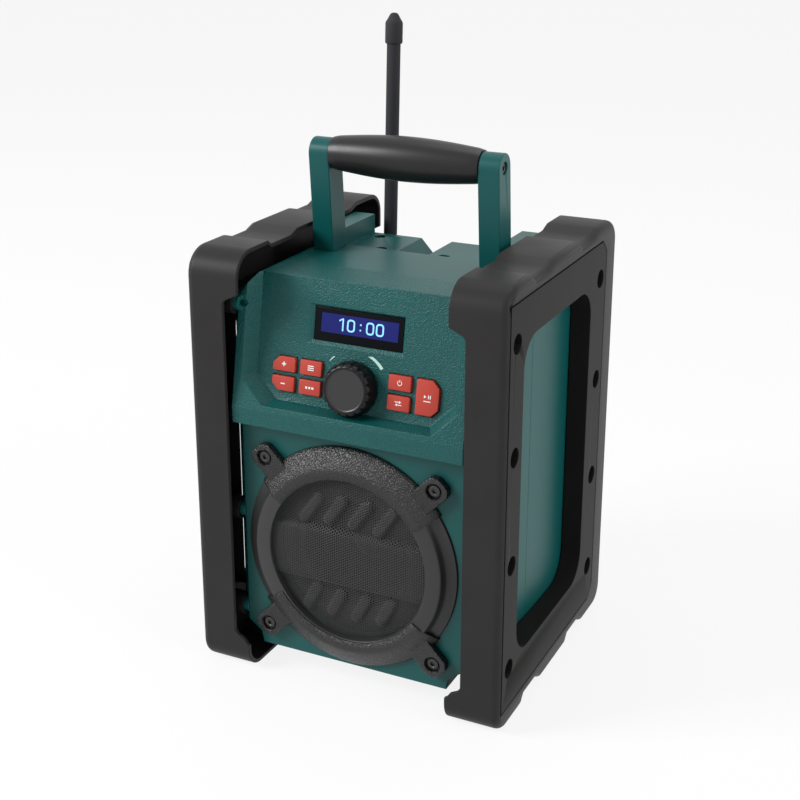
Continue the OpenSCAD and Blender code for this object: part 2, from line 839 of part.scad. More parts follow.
// Steel plate under the top that carries both posts and hangs from the raised blocks
module handle_bracket() {
    color("silver") from_front() difference() {
        translate([-bracket_half, bracket_y0, bracket_z - bracket_t])
            cube([2 * bracket_half, block_y1 - wall - 1 - bracket_y0, bracket_t]);
        for (p = block_screw_places) translate([p[0], p[1], bracket_z - bracket_t - 1])
            cylinder(r = 1.5, h = bracket_t + 2);
        for (s = [-1, 1]) translate([s * post_mid, foot_y, bracket_z - bracket_t - 1])
            cylinder(r = screw_clear_r, h = bracket_t + 2);
        translate([-bracket_slot_w / 2, ledge_y - bracket_slot_d - 2, bracket_z - bracket_t - 1])
            cube([bracket_slot_w, bracket_slot_d, bracket_t + 2]);
    }
}

module handle_post_screws() {
    color("silver") both_sides() from_front()
        translate([post_mid, foot_y, bracket_z - bracket_t]) rotate([180, 0, 0])
            screw(screw_r, bracket_t + bracket_screw_grip, 4, 2.4);
}

module left_handle_post() {
    color(green) mirror([1, 0, 0]) handle_post();
}

module right_handle_post() {
    color(green) handle_post();
}

// Half of the grip's outline: thick in the middle and slim at the posts
function grip_half() = [for (i = [0 : 8]) let (t = i / 8)
    [grip_end_r + (grip_r - grip_end_r) * cos(90 * t), t * handle_clear / 2]];

module handle_grip() {
    color(black) on_handle() translate([0, 0, grip_rise]) rotate([0, 90, 0]) difference() {
        rotate_extrude() polygon(concat(
            [[0, -handle_clear / 2]],
            [for (p = reverse(grip_half())) [p[0], -p[1]]],
            [for (i = [1 : 8]) grip_half()[i]], [[0, handle_clear / 2]]));
        cylinder(r = rod_r, h = handle_clear + 2, center = true);
    }
}

module handle_rod() {
    rod_half = post_x0 + post_w - 5;
    color("silver") on_handle() difference() {
        x_bar(rod_r, -rod_half, rod_half, 0, grip_rise);
        both_sides() x_bar(screw_r, rod_half - 14, rod_half + 1, 0, grip_rise);
    }
}

module handle_screws() {
    color("silver") both_sides() on_handle()
        translate([post_x0 + post_w - 3, 0, grip_rise]) rotate([0, 90, 0])
            screw(screw_r, 14, 3.8, 2);
}

// ---------------------------------------------------------------- speaker

module speaker_ring() {
    color(black) difference() {
        on_speaker() union() {
            rotate_extrude() polygon([
                [mesh_r, ring_rise], [mesh_r - 0.5, ring_rise - 1], [mesh_r - 0.5, ring_rise - 4.2],
                [mesh_r + 2.2, ring_rise - 4.2], [mesh_r + 2.2, 0], [arc_r - 1.5, 0],
                [arc_r - 2, 1.5], [ring_r + 2.5, 3], [ring_r, ring_rise - 1], [ring_r - 1, ring_rise]]);
            for (a = [34, 214]) rotate(a) rotate_extrude(angle = 112) polygon([
                [mesh_r + 0.6, ring_rise - 3], [mesh_r + 0.6, ring_rise + 0.9],
                [mesh_r + 6.5, ring_rise + 1.3], [arc_r - 1.5, 2.5], [arc_r, 0],
                [mesh_r + 4, 0], [mesh_r + 4, ring_rise - 3]]);
            for (a = [45 : 90 : 315]) rotate(a) difference() {
                linear_extrude(lug_rise) lug_shape();
                translate([lug_r, 0, lug_rise - 3]) cylinder(r = lug_bore_r, h = 4);
                translate([lug_r, 0, -1]) cylinder(r = screw_clear_r, h = lug_rise);
            }
        }
    }
}

// Lug along X: square, with its two outer corners cut
module lug_shape() {
    end = lug_r + lug_w / 2;
    half = lug_w / 2;
    polygon([[ring_r - 3, -half], [end - 4, -half], [end, -half + 4],
        [end, half - 4], [end - 4, half], [ring_r - 3, half]]);
}

ring_screw_len = 12;

module speaker_ring_screws() {
    color("silver") on_speaker() for (a = [45 : 90 : 315]) rotate(a)
        translate([lug_r, 0, lug_rise - 3]) screw(screw_r, ring_screw_len, 4, 2.2);
}

// Perforated sheet: a pan whose middle band stands forward of the rest
module speaker_grille() {
    top = baffle_y - grille_y;
    color("dimgray") difference() {
        on_speaker() union() {
            difference() {
                cylinder(r = mesh_r + 1.9, h = top);
                translate([0, 0, -1]) cylinder(r = mesh_r + 0.9, h = top - grille_t + 1);
            }
            intersection() {
                translate([-mesh_r, -band_half, top - grille_t])
                    cube([2 * mesh_r, 2 * band_half, grille_t + 1.2]);
                cylinder(r = mesh_r - 1.5, h = top + 4);
            }
        }
        on_speaker() intersection() {
            translate([-mesh_r, -band_half + 1, 0])
                cube([2 * mesh_r, 2 * band_half - 2, top + 1.2 - grille_t]);
            cylinder(r = mesh_r - 2.5, h = top + 4);
        }
    }
}

module speaker_gasket() {
    color("black") on_speaker() translate([0, 0, -wall - gasket_t]) difference() {
        cylinder(r = flange_r, h = gasket_t);
        translate([0, 0, -1]) cylinder(r = basket_r, h = gasket_t + 2);
        for (a = [0 : 90 : 270]) rotate(a) translate([speaker_screw_r, 0, -1])
            cylinder(r = 1.6, h = 4);
    }
}

basket_slot_w = 18;
basket_slot_edge = 6;

module speaker_basket() {
    color("dimgray") on_speaker() difference() {
        rotate_extrude() polygon([
            [flange_r, basket_front], [flange_r, basket_front - basket_t],
            [basket_r + 1, basket_front - basket_t], [magnet_r - 2, magnet_front + 2],
            [magnet_r - 2, magnet_front], [throat_r + 4, magnet_front],
            [throat_r + 4, magnet_front + 2], [magnet_r - 5, magnet_front + 2],
            [basket_r - 1, basket_front - basket_t - 2], [basket_r - 1, basket_front]]);
        for (a = [0 : 60 : 300]) rotate(a)
            translate([magnet_r + 1, -basket_slot_w / 2, magnet_front + basket_slot_edge])
                cube([basket_slot_w, basket_slot_w,
                    basket_front - basket_t - magnet_front - 2 * basket_slot_edge]);
        for (a = [0 : 90 : 270]) rotate(a) translate([speaker_screw_r, 0, basket_front - 4])
            cylinder(r = 1.6, h = 6);
    }
}

// Half-round roll between a flat glued to the basket and a flat glued to the cone
module speaker_surround() {
    mid = (basket_r - 1 + cone_r) / 2;
    roll = (basket_r - 1 - cone_r) / 2;
    color("black") on_speaker() rotate_extrude() polygon(concat(
        [[flange_r - 6, basket_front], [flange_r - 6, basket_front + surround_t]],
        arc(mid, basket_front + surround_t, roll, 0, 180, 12),
        [[cone_r - 4, basket_front + surround_t], [cone_r - 4, basket_front]],
        arc(mid, basket_front, roll - surround_t, 180, 0, 12)));
}

module speaker_cone() {
    color("#26282a") on_speaker() rotate_extrude() polygon([
        [cone_r - 0.5, basket_front], [cone_r - 5, basket_front],
        [throat_r, cone_back + 2], [throat_r, magnet_front],
        [throat_r + 1, magnet_front], [throat_r + 1, cone_back + 0.5],
        [cone_r - 0.5, basket_front - 1.2]]);
}

module speaker_dust_cap() {
    rise = 5;
    cap_sphere = (throat_r * throat_r + rise * rise) / (2 * rise);
    color("#1b1b1b") on_speaker() translate([0, 0, cone_back + 2]) intersection() {
        translate([0, 0, rise - cap_sphere]) sphere(r = cap_sphere);
        cylinder(r = throat_r, h = rise + 1);
    }
}

module speaker_magnet() {
    back = magnet_front - magnet_t;
    color("gray") on_speaker() union() {
        translate([0, 0, back + 3]) cylinder(r = magnet_r, h = magnet_t - 7);
        translate([0, 0, magnet_front - 4]) cylinder(r = magnet_r - 3, h = 4);
        translate([0, 0, back]) cylinder(r = magnet_r - 3, h = 3 + eps);
        translate([0, 0, back + 3]) cylinder(r = throat_r - 2, h = magnet_t + 4);
    }
}

module speaker_screws() {
    color("silver") on_speaker() for (a = [0 : 90 : 270]) rotate(a)
        translate([speaker_screw_r, 0, basket_front - basket_t]) rotate([180, 0, 0])
            screw(1.5, basket_t + gasket_t + surround_t + 2, 2.6, 1.8);
}

// ---------------------------------------------------------------- controls

// x, v, width, height, cut on the left top, left bottom, right top and right bottom
tall_h = 2 * button_h + button_gap;
cut = 4.5;
button_list = [
    [-outer_x, row_mid + row_v, button_w + 0.8, button_h, cut, 0, 0, 0],
    [-outer_x, row_mid - row_v, button_w + 0.8, button_h, 0, cut, 0, 0],
    [-inner_x, row_mid + row_v, button_w, button_h, 0, 0, 0, 0],
    [-inner_x, row_mid - row_v, button_w, button_h, 0, 0, 0, 0],
    [right_x, row_mid + row_v, button_w, button_h, 0, 0, 0, 0],
    [right_x, row_mid - row_v, button_w, button_h, 0, 0, 0, 0],
    [enter_x, row_mid, button_w, tall_h, 0, 0, cut, cut]];

// Outline of a button, grown by g, with its cut corners
module button_shape(b, g) {
    w = b[2] / 2 + g;
    h = b[3] / 2 + g;
    polygon([[-w, h - b[4]], [-w + b[4], h], [w - b[6], h], [w, h - b[6]],
        [w, -h + b[7]], [w - b[7], -h], [-w + b[5], -h], [-w, -h + b[5]]]);
}

module button(i) {
    b = button_list[i];
    color(red) on_panel(b[0], b[1]) {
        translate([0, 0, -wall - 0.1 - eps]) linear_extrude(wall + button_rise - 0.5)
            button_shape(b, 0);
        translate([0, 0, button_rise - 0.7]) linear_extrude(0.7) button_shape(b, -0.5);
        translate([0, 0, -wall - 0.1 - flange_h]) linear_extrude(flange_h)
            button_shape(b, flange_side);
    }
}

module tune_up_button() { button(0); }
module tune_down_button() { button(1); }
module menu_button() { button(2); }
module preset_button() { button(3); }
module power_button() { button(4); }
module source_button() { button(5); }
module enter_button() { button(6); }

mat_x = 42;
mat_w = 38;
mat_v = -12.5;
mat_h = 29;
dome_r = 3.4;

// Rubber sheet with one dome behind each button
module keypad_mat() {
    color("lightgray") on_panel() difference() {
        union() {
            for (s = [-1, 1]) translate([s * mat_x - mat_w / 2, mat_v, board_top])
                cube([mat_w, mat_h, mat_t]);
            for (b = button_list) translate([b[0], b[1], board_top + mat_t - eps])
                cylinder(r1 = dome_r, r2 = dome_r - 0.8, h = dome_h);
        }
        for (x = [-board_boss_x, board_boss_x], v = board_boss_v) translate([x, v, board_top - 1])
            cylinder(r = 4, h = 6);
    }
}

module control_board() {
    color("darkgreen") on_panel() difference() {
        translate([-board_half_w, board_v0, board_top - board_t])
            cube([2 * board_half_w, board_v1 - board_v0, board_t]);
        for (x = [-board_boss_x, board_boss_x], v = board_boss_v) translate([x, v, board_top - 3])
            cylinder(r = 1.4, h = 4);
    }
}

module control_board_screws() {
    color("silver") for (x = [-board_boss_x, board_boss_x], v = board_boss_v) on_panel(x, v)
        translate([0, 0, board_top - board_t]) rotate([180, 0, 0]) screw(1.2, 5, 2.4, 1.5);
}

module display_window() {
    color("#101318") on_panel(0, display_v) {
        translate([-display_w / 2 + glass_fit, -display_h / 2 + glass_fit, -glass_recess - glass_t])
            cube([display_w - 2 * glass_fit, display_h - 2 * glass_fit, glass_t]);
    }
}

module display_module() {
    front = -glass_recess - glass_t;
    w = display_w + 2 * module_grow;
    h = display_h + 2 * module_grow;
    color("#24306e") on_panel(0, display_v)
        translate([-w / 2, -h / 2, board_top]) cube([w, h, front - board_top]);
}

// Fluted knob: a tapered skirt under a flat face with a raised rim
module volume_knob() {
    color("#1c1c1c") on_panel() difference() {
        rotate_extrude() polygon([
            [0, knob_gap], [knob_r - 1, knob_gap], [knob_r, knob_gap + 1.5], [knob_r - 0.8, knob_h * 0.72],
            [knob_face_r + 0.6, knob_h], [knob_face_r - 1, knob_h], [knob_face_r - 2, knob_h - 0.8],
            [0, knob_h - 0.8]]);
        for (i = [0 : knob_flutes - 1]) rotate(360 * i / knob_flutes)
            translate([knob_r + 0.6, 0, knob_gap + 2]) cylinder(r = 1.6, h = knob_h);
        translate([0, 0, -1]) cylinder(r = shaft_r, h = shaft_top + 1 + 0.3);
        translate([0, 0, -1]) cylinder(r = bushing_r + 3.5, h = knob_gap + nut_h + 2);
    }
}

module encoder() {
    color("silver") on_panel() difference() {
        union() {
            translate([-encoder_w / 2, -encoder_w / 2, board_top])
                cube([encoder_w, encoder_w, -wall - board_top]);
            translate([0, 0, -wall - eps]) cylinder(r = bushing_r, h = wall + nut_h + 0.6);
        }
        translate([0, 0, board_top + 1]) cylinder(r = shaft_r + fit, h = 30);
    }
}

module encoder_shaft() {
    color("gray") on_panel() translate([0, 0, board_top + 1.1])
        cylinder(r = shaft_r, h = shaft_top - board_top - 1.1);
}

module encoder_nut() {
    color("silver") on_panel() difference() {
        cylinder(r = bushing_r + 2.4, h = nut_h);
        translate([0, 0, -1]) cylinder(r = bushing_r, h = nut_h + 2);
    }
}

// ---------------------------------------------------------------- electronics

// Parts on the board: a pair of tall round ones, the tuner and a flat chip
can_x = [-40, -26];
can_r = 6;
can_h = 14;
can_z = main_z0 + 26;
tuner = [26, 9, 20];
tuner_x = -8;
tuner_z = main_z0 + 14;
chip = [20, 3, 20];
chip_x = 26;
chip_z = main_z0 + 40;

module main_board() {
    color("darkgreen") from_front() difference() {
        union() {
            translate([-main_half_w, board_y, main_z0]) cube([2 * main_half_w, board_t, main_z1 - main_z0]);
            for (x = can_x) y_bar(can_r, board_y - can_h, board_y + eps, x, can_z);
            translate([tuner_x, board_y - tuner[1], tuner_z]) cube(tuner + [0, eps, 0]);
            translate([chip_x, board_y - chip[1], chip_z]) cube(chip + [0, eps, 0]);
        }
        for (x = [-1, 1] * (main_half_w - 5), z = [main_z0 + 5, main_z1 - 5])
            y_bar(1.4, board_y - 1, board_y + board_t + 1, x, z);
    }
}

main_screw_len = 8;

module main_board_screws() {
    color("silver") from_front()
        for (x = [-1, 1] * (main_half_w - 5), z = [main_z0 + 5, main_z1 - 5])
            translate([x, board_y, z]) rotate([90, 0, 0]) screw(1.2, main_screw_len, 2.6, 1.6);
}

// A panel socket: flanged body inside the back wall with a round mouth
module socket(x, bore, depth) {
    r = jack_body_r(bore);
    color("#151515") from_front() difference() {
        union() {
            y_bar(r, body_y1 - wall - eps, body_y1, x, jack_z);
            y_bar(r + 2, body_y1 - wall - 15, body_y1 - wall, x, jack_z);
        }
        y_bar(bore, body_y1 - depth, body_y1 + 1, x, jack_z);
    }
}

module audio_jack() {
    socket(audio_x, jack_r, 15);
}

module power_inlet() {
    socket(inlet_x, inlet_r, 10);
    color("silver") from_front() y_bar(1, body_y1 - 10 - eps, body_y1 - 1, inlet_x, jack_z);
}

// ---------------------------------------------------------------- antenna

// Base on the shelf with two ears
module antenna_base() {
    ear_x = knuckle_t / 2 + 0.2;
    color(dark) from_front() translate([antenna_x, antenna_y, shelf_z]) difference() {
        union() {
            cylinder(r = 8.5, h = 4);
            translate([0, 0, -8]) cylinder(r = 4, h = 9);
            for (s = [-1, 1]) hull() {
                x_bar(4.5, s * (ear_x + 1.5) - 1.5, s * (ear_x + 1.5) + 1.5, 0, pivot_z - shelf_z);
                translate([s * (ear_x + 1.5) - 1.5, -4.5, 3]) cube([3, 9, 1]);
            }
        }
        x_bar(pin_r, -12, 12, 0, pivot_z - shelf_z);
    }
}

module antenna_pin() {
    reach = knuckle_t / 2 + 3.2;
    color("silver") from_front() x_bar(pin_r, antenna_x - reach, antenna_x + reach, antenna_y, pivot_z);
}

module on_antenna() {
    from_front() translate([antenna_x, antenna_y, pivot_z]) rotate([-antenna_lean, 0, 0]) children();
}

// Knuckle and rubber rod in one moulding
module antenna_rod() {
    color(black) on_antenna() difference() {
        union() {
            x_bar(4.2, -knuckle_t / 2, knuckle_t / 2, 0, 0);
            translate([-knuckle_t / 2, -3.4, 0]) cube([knuckle_t, 6.8, sleeve_z + 1]);
            translate([0, 0, sleeve_z]) cylinder(r1 = antenna_r - 0.6, r2 = antenna_r, h = 2);
            translate([0, 0, sleeve_z + 2 - eps]) cylinder(r = antenna_r, h = antenna_len - cap_h - sleeve_z + 2);
        }
        x_bar(pin_r + fit, -12, 12, 0, 0);
    }
}

module antenna_cap() {
    color("#151515") on_antenna() translate([0, 0, antenna_len - cap_h]) difference() {
        rotate_extrude() polygon([
            [0, 0], [cap_r - 0.6, 0], [cap_r, 0.8], [cap_r, cap_h - 6.5], [cap_r - 1.2, cap_h - 5],
            [3, cap_h - 0.8], [1.8, cap_h], [0, cap_h]]);
        translate([0, 0, -1]) cylinder(r = antenna_r, h = 5);
    }
}

// ---------------------------------------------------------------- battery bay

module battery_tray() {
    tray_h = tray_rows * cell_pitch + 2;
    color("#202020") from_front() difference() {
        translate([-tray_half_w - tray_t, tray_y0, tray_z0 - tray_t])
            cube([2 * (tray_half_w + tray_t), door_y - 3 - tray_y0, tray_h + 2 * tray_t]);
        translate([-tray_half_w, tray_y0 + tray_t, tray_z0])
            cube([2 * tray_half_w, bumper_d, tray_h]);
        y_bar(door_boss_r + 0.3, door_boss_y - 0.3, door_y, 0, door_boss_z);
    }
}

function cell_z(i) = tray_z0 + 1 + cell_pitch * (i + 0.5) - 0.5;
cell_y = tray_y0 + tray_t + cell_r + 0.3;

module battery_cells() {
    color("slategray") from_front() for (i = [0 : tray_rows - 1], s = [-1, 1])
        translate([s * (cell_len / 2 + 0.6) - cell_len / 2, cell_y, cell_z(i)]) rotate([0, 90, 0]) {
            cylinder(r = cell_r, h = cell_len - 1.5);
            translate([0, 0, cell_len - 1.5 - eps]) cylinder(r = 3.2, h = 1.5);
        }
}

// A plate on the tray's end wall and a spring, drawn as its outer cone
contact_w = 16;

module battery_contacts() {
    reach = tray_half_w - 1;
    color("silver") from_front() for (i = [0 : tray_rows - 1], s = [-1, 1]) {
        translate([s * (tray_half_w - 0.3) - 0.3, cell_y - contact_w / 2, cell_z(i) - contact_w / 2])
            cube([0.6, contact_w, contact_w]);
        translate([s * (tray_half_w - 0.6), cell_y, cell_z(i)]) rotate([0, -90 * s, 0])
            cylinder(r1 = 6, r2 = 3.5, h = tray_half_w - 0.6 - cell_len - 0.7);
    }
}

ear_x = door_w / 2 - 14;
ear_w = 6;

// Fixed ears under the door; the door's own ears sit beside them
module hinge_ears() {
    for (s = [-1, 1]) difference() {
        hull() {
            x_bar(hinge_r, s * ear_x - ear_w / 2, s * ear_x + ear_w / 2, hinge_y, hinge_z);
            translate([s * ear_x - ear_w / 2, body_y1 - 2, hinge_z - hinge_r - 2])
                cube([ear_w, 1, 2 * hinge_r]);
        }
        x_bar(hinge_pin_r, s * ear_x - ear_w, s * ear_x + ear_w, hinge_y, hinge_z);
    }
}

module battery_door() {
    gap = 0.3;
    x0 = ear_x - ear_w / 2 - gap - ear_w;
    color(green) from_front() difference() {
        union() {
            translate([-door_w / 2, door_y, door_z0]) cube([door_w, door_t, door_h]);
            for (s = [-1, 1]) let (left = min(s * x0, s * (x0 + ear_w))) {
                hull() {
                    x_bar(hinge_r - 0.2, left, left + ear_w, hinge_y, hinge_z);
                    translate([left, body_y1 + 0.1, door_z0 + 1]) cube([ear_w, 1, 5]);
                }
                translate([left, body_y1 - 0.5, door_z0 + 1]) cube([ear_w, 1, 5]);
            }
        }
        x_bar(hinge_pin_r + fit, -door_w, door_w, hinge_y, hinge_z);
        y_bar(door_collar_r + fit, door_y - 1, bumper_d, 0, door_screw_z);
    }
}

module battery_door_pin() {
    reach = ear_x + ear_w / 2 + 1;
    color("silver") from_front() for (s = [-1, 1])
        x_bar(hinge_pin_r, min(s * reach, s * (reach - 2 * ear_w - 2)),
            max(s * reach, s * (reach - 2 * ear_w - 2)), hinge_y, hinge_z);
}

door_screw_z = door_z0 + door_h - 5;
door_boss_r = 6;
door_boss_z = door_screw_z + 2;
door_boss_y = door_y - 9;

// Frame in the back wall that the door rests on, with the boss for its screw
module door_frame() {
    translate([-door_w / 2 - 4, door_y - 3, door_z0 - 3])
        cube([door_w + 8, wall + 2, door_h + 7]);
    y_bar(door_boss_r, door_boss_y, door_y, 0, door_boss_z);
}

module door_opening() {
    translate([-door_w / 2 + 3, door_y - 20, door_z0 + 3])
        cube([door_w - 6, 40, door_h - 13]);
    translate([-door_w / 2 - door_gap, door_y, door_z0 - door_gap])
        cube([door_w + 2 * door_gap, 20, door_h + 2 * door_gap]);
    y_bar(screw_r + door_screw_play, door_y - 8, door_y + 1, 0, door_screw_z);
}

module battery_door_screw() {
    color("silver") from_front() difference() {
        union() {
            y_bar(door_collar_r, door_y, body_y1 + eps, 0, door_screw_z);
            y_bar(4.8, body_y1, body_y1 + 3, 0, door_screw_z);
            y_bar(screw_r, door_y - 4.5, door_y + eps, 0, door_screw_z);
        }
        translate([-4, body_y1 + 2, door_screw_z - 0.6]) cube([8, 2, 1.2]);
    }
}

front_shell();
rear_shell();
shell_screws();
left_bumper();
right_bumper();
left_side_plate();
right_side_plate();
left_plate_screws();
right_plate_screws();
left_handle_post();
right_handle_post();
handle_grip();
handle_rod();
handle_screws();
handle_bracket();
handle_post_screws();
block_screws();
speaker_ring();
speaker_ring_screws();
speaker_grille();
speaker_gasket();
speaker_basket();
speaker_surround();
speaker_cone();
speaker_dust_cap();
speaker_magnet();
speaker_screws();
display_window();
display_module();
control_board();
control_board_screws();
keypad_mat();
tune_up_button();
tune_down_button();
menu_button();
preset_button();
power_button();
source_button();
enter_button();
volume_knob();
encoder();
encoder_shaft();
encoder_nut();
main_board();
main_board_screws();
power_inlet();
audio_jack();
antenna_base();
antenna_pin();
antenna_rod();
antenna_cap();
battery_tray();
battery_cells();
battery_contacts();
battery_door();
battery_door_pin();
battery_door_screw();
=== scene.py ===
import json
import logging
import math
from collections.abc import Callable, Iterable, Sequence
from dataclasses import dataclass, field
from enum import Enum, StrEnum

import bmesh
import bpy
from mathutils import Matrix, Vector

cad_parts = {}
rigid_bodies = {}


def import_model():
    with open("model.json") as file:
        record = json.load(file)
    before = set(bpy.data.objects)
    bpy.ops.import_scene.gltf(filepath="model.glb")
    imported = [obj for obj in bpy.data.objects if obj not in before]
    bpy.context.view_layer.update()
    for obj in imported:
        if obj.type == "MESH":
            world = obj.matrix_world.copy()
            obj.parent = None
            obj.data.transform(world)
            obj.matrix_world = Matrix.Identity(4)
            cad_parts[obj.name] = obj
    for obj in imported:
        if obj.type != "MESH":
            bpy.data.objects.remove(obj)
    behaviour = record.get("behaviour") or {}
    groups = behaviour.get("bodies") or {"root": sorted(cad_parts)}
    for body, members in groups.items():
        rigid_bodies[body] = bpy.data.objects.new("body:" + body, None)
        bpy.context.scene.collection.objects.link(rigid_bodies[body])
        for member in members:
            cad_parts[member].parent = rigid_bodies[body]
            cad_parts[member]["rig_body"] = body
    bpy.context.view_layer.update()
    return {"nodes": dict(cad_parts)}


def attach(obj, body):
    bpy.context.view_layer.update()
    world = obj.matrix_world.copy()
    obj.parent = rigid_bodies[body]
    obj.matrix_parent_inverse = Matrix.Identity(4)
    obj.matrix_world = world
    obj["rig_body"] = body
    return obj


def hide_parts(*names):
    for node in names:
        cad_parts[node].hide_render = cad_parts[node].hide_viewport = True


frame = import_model()

LOG = logging.getLogger("jobsite_radio")
MM = 0.001
PHOTO_PX = 800.0
PRINT_LOW, PRINT_HIGH = -0.02, 0.03
LAMP_AIM = Vector((0.0, 0.0, 0.17))
Point = tuple[float, float]
Colour = tuple[float, float, float]
Button = tuple[float, float, float, float, float, float, float, float]


class Part(StrEnum):
    """The CAD bodies that pieces ride on."""

    RADIO = "radio_body"
    KNOB = "volume_knob"
    ANTENNA = "antenna"


class GrainKind(Enum):
    """How the surface of a moulding is textured."""

    NOISE = "noise"
    PEBBLE = "pebble"


# ------------------------------------------------------------------ finishes


class Nodes:
    """A short way of laying out a material's nodes."""

    def __init__(self, name: str) -> None:
        """Starts an empty material.

        Args:
            name: The material's name.
        """
        self.material = bpy.data.materials.new(name)
        self.material.use_nodes = True
        self.tree = self.material.node_tree
        self.tree.nodes.clear()

    def add(self, kind: str, props: dict | None = None, **inputs: object) -> bpy.types.Node:
        """Adds a node.

        Args:
            kind: The node's type, without its "ShaderNode" prefix.
            props: Settings of the node itself.
            inputs: Values or links for its sockets, with spaces written as underscores.

        Returns:
            The node.
        """
        node = self.tree.nodes.new("ShaderNode" + kind)
        for key, value in (props or {}).items():
            setattr(node, key, value)
        for key, value in inputs.items():
            socket = node.inputs[int(key[1:])] if key[1:].isdigit() else node.inputs[key.replace("_", " ")]
            self.put(socket, value)
        return node

    def put(self, socket: bpy.types.NodeSocket, value: object) -> None:
        """Sets a socket's value, or links it if the value is another node's socket."""
        if isinstance(value, bpy.types.NodeSocket):
            self.tree.links.new(value, socket)
        else:
            socket.default_value = value

    def maths(self, operation: str, *values: object) -> bpy.types.NodeSocket:
        """Adds a Math node and returns its result."""
        node = self.add("Math", {"operation": operation})
        for socket, value in zip(node.inputs, values):
            self.put(socket, value)
        return node.outputs[0]

    def mix(self, factor: object, first: Colour, second: Colour) -> bpy.types.NodeSocket:
        """Adds a colour mix and returns its result."""
        node = self.add("Mix", {"data_type": "RGBA"})
        self.put(node.inputs[0], factor)
        for socket, colour in ((node.inputs[6], first), (node.inputs[7], second)):
            self.put(socket, colour if isinstance(colour, bpy.types.NodeSocket) else (*colour, 1.0))
        return node.outputs[2]

    def place(self) -> bpy.types.NodeSocket:
        """Returns the piece's own coordinates."""
        return self.add("TexCoord").outputs["Object"]

    def noise(self, size_mm: float, detail: float = 2.0, vector: object = None) -> bpy.types.NodeSocket:
        """Returns noise whose features are about size_mm across."""
        return self.add(
            "TexNoise", Vector=vector or self.place(), Scale=1.0 / (size_mm * MM), Detail=detail
        ).outputs[0]


@dataclass(frozen=True)
class Finish:
    """A moulded, coated or metal surface.

    Attributes:
        name: What the finish is called.
        slot: The record's material slot; not used.
        colour: Linear base colour.
        roughness: Mean roughness.
        grain_mm: Size of the surface's grain.
        depth_mm: Height of the grain.
        kind: Shape of the grain.
        mottle: Share by which the colour varies.
        metallic: 1 on bare metal.
        specular: Specular level.
    """

    name: str
    slot: str
    colour: Colour
    roughness: float = 0.5
    grain_mm: float = 0.5
    depth_mm: float = 0.01
    kind: GrainKind = GrainKind.NOISE
    mottle: float = 0.08
    metallic: float = 0.0
    specular: float = 0.5

    def shade(self, share: float) -> Colour:
        """Returns the colour made lighter or darker by a share."""
        return tuple(min(1.0, c * (1.0 + share)) for c in self.colour)

    def height(self, nodes: Nodes, place: bpy.types.NodeSocket) -> bpy.types.NodeSocket:
        """Returns the grain's height, from 0 to 1."""
        if self.kind is GrainKind.PEBBLE:
            cells = nodes.add(
                "TexVoronoi", {"feature": "SMOOTH_F1"}, Vector=place, Scale=1.0 / (self.grain_mm * MM)
            )
            cells.inputs["Smoothness"].default_value = 0.6
            return cells.outputs["Distance"]
        return nodes.noise(self.grain_mm, 2.0, place)

    def material(self) -> bpy.types.Material:
        """Builds the material, or returns the one already built."""
        made = bpy.data.materials.get(self.name)
        if made:
            return made
        nodes = Nodes(self.name)
        place = nodes.place()
        surface = nodes.add("BsdfPrincipled")
        surface.inputs["Metallic"].default_value = self.metallic
        surface.inputs["Specular IOR Level"].default_value = self.specular
        self.dress(nodes, place, surface)
        out = nodes.add("OutputMaterial")
        nodes.tree.links.new(surface.outputs[0], out.inputs["Surface"])
        return nodes.material

    def dress(self, nodes: Nodes, place: bpy.types.NodeSocket, surface: bpy.types.Node) -> None:
        """Links the colour, the roughness and the grain.

        Args:
            nodes: The material's nodes.
            place: The piece's own coordinates.
            surface: The shader.
        """
        broad = nodes.noise(28.0, 3.0, place)
        nodes.put(surface.inputs["Base Color"], nodes.mix(broad, self.shade(-self.mottle), self.shade(self.mottle)))
        fine = self.height(nodes, place)
        rough = nodes.add(
            "MapRange", Value=fine, To_Min=max(0.0, self.roughness - 0.06), To_Max=min(1.0, self.roughness + 0.06)
        )
        nodes.put(surface.inputs["Roughness"], rough.outputs[0])
        bump = nodes.add("Bump", Height=fine, Distance=self.depth_mm * MM)
        bump.inputs["Strength"].default_value = 1.0
        nodes.put(surface.inputs["Normal"], bump.outputs[0])


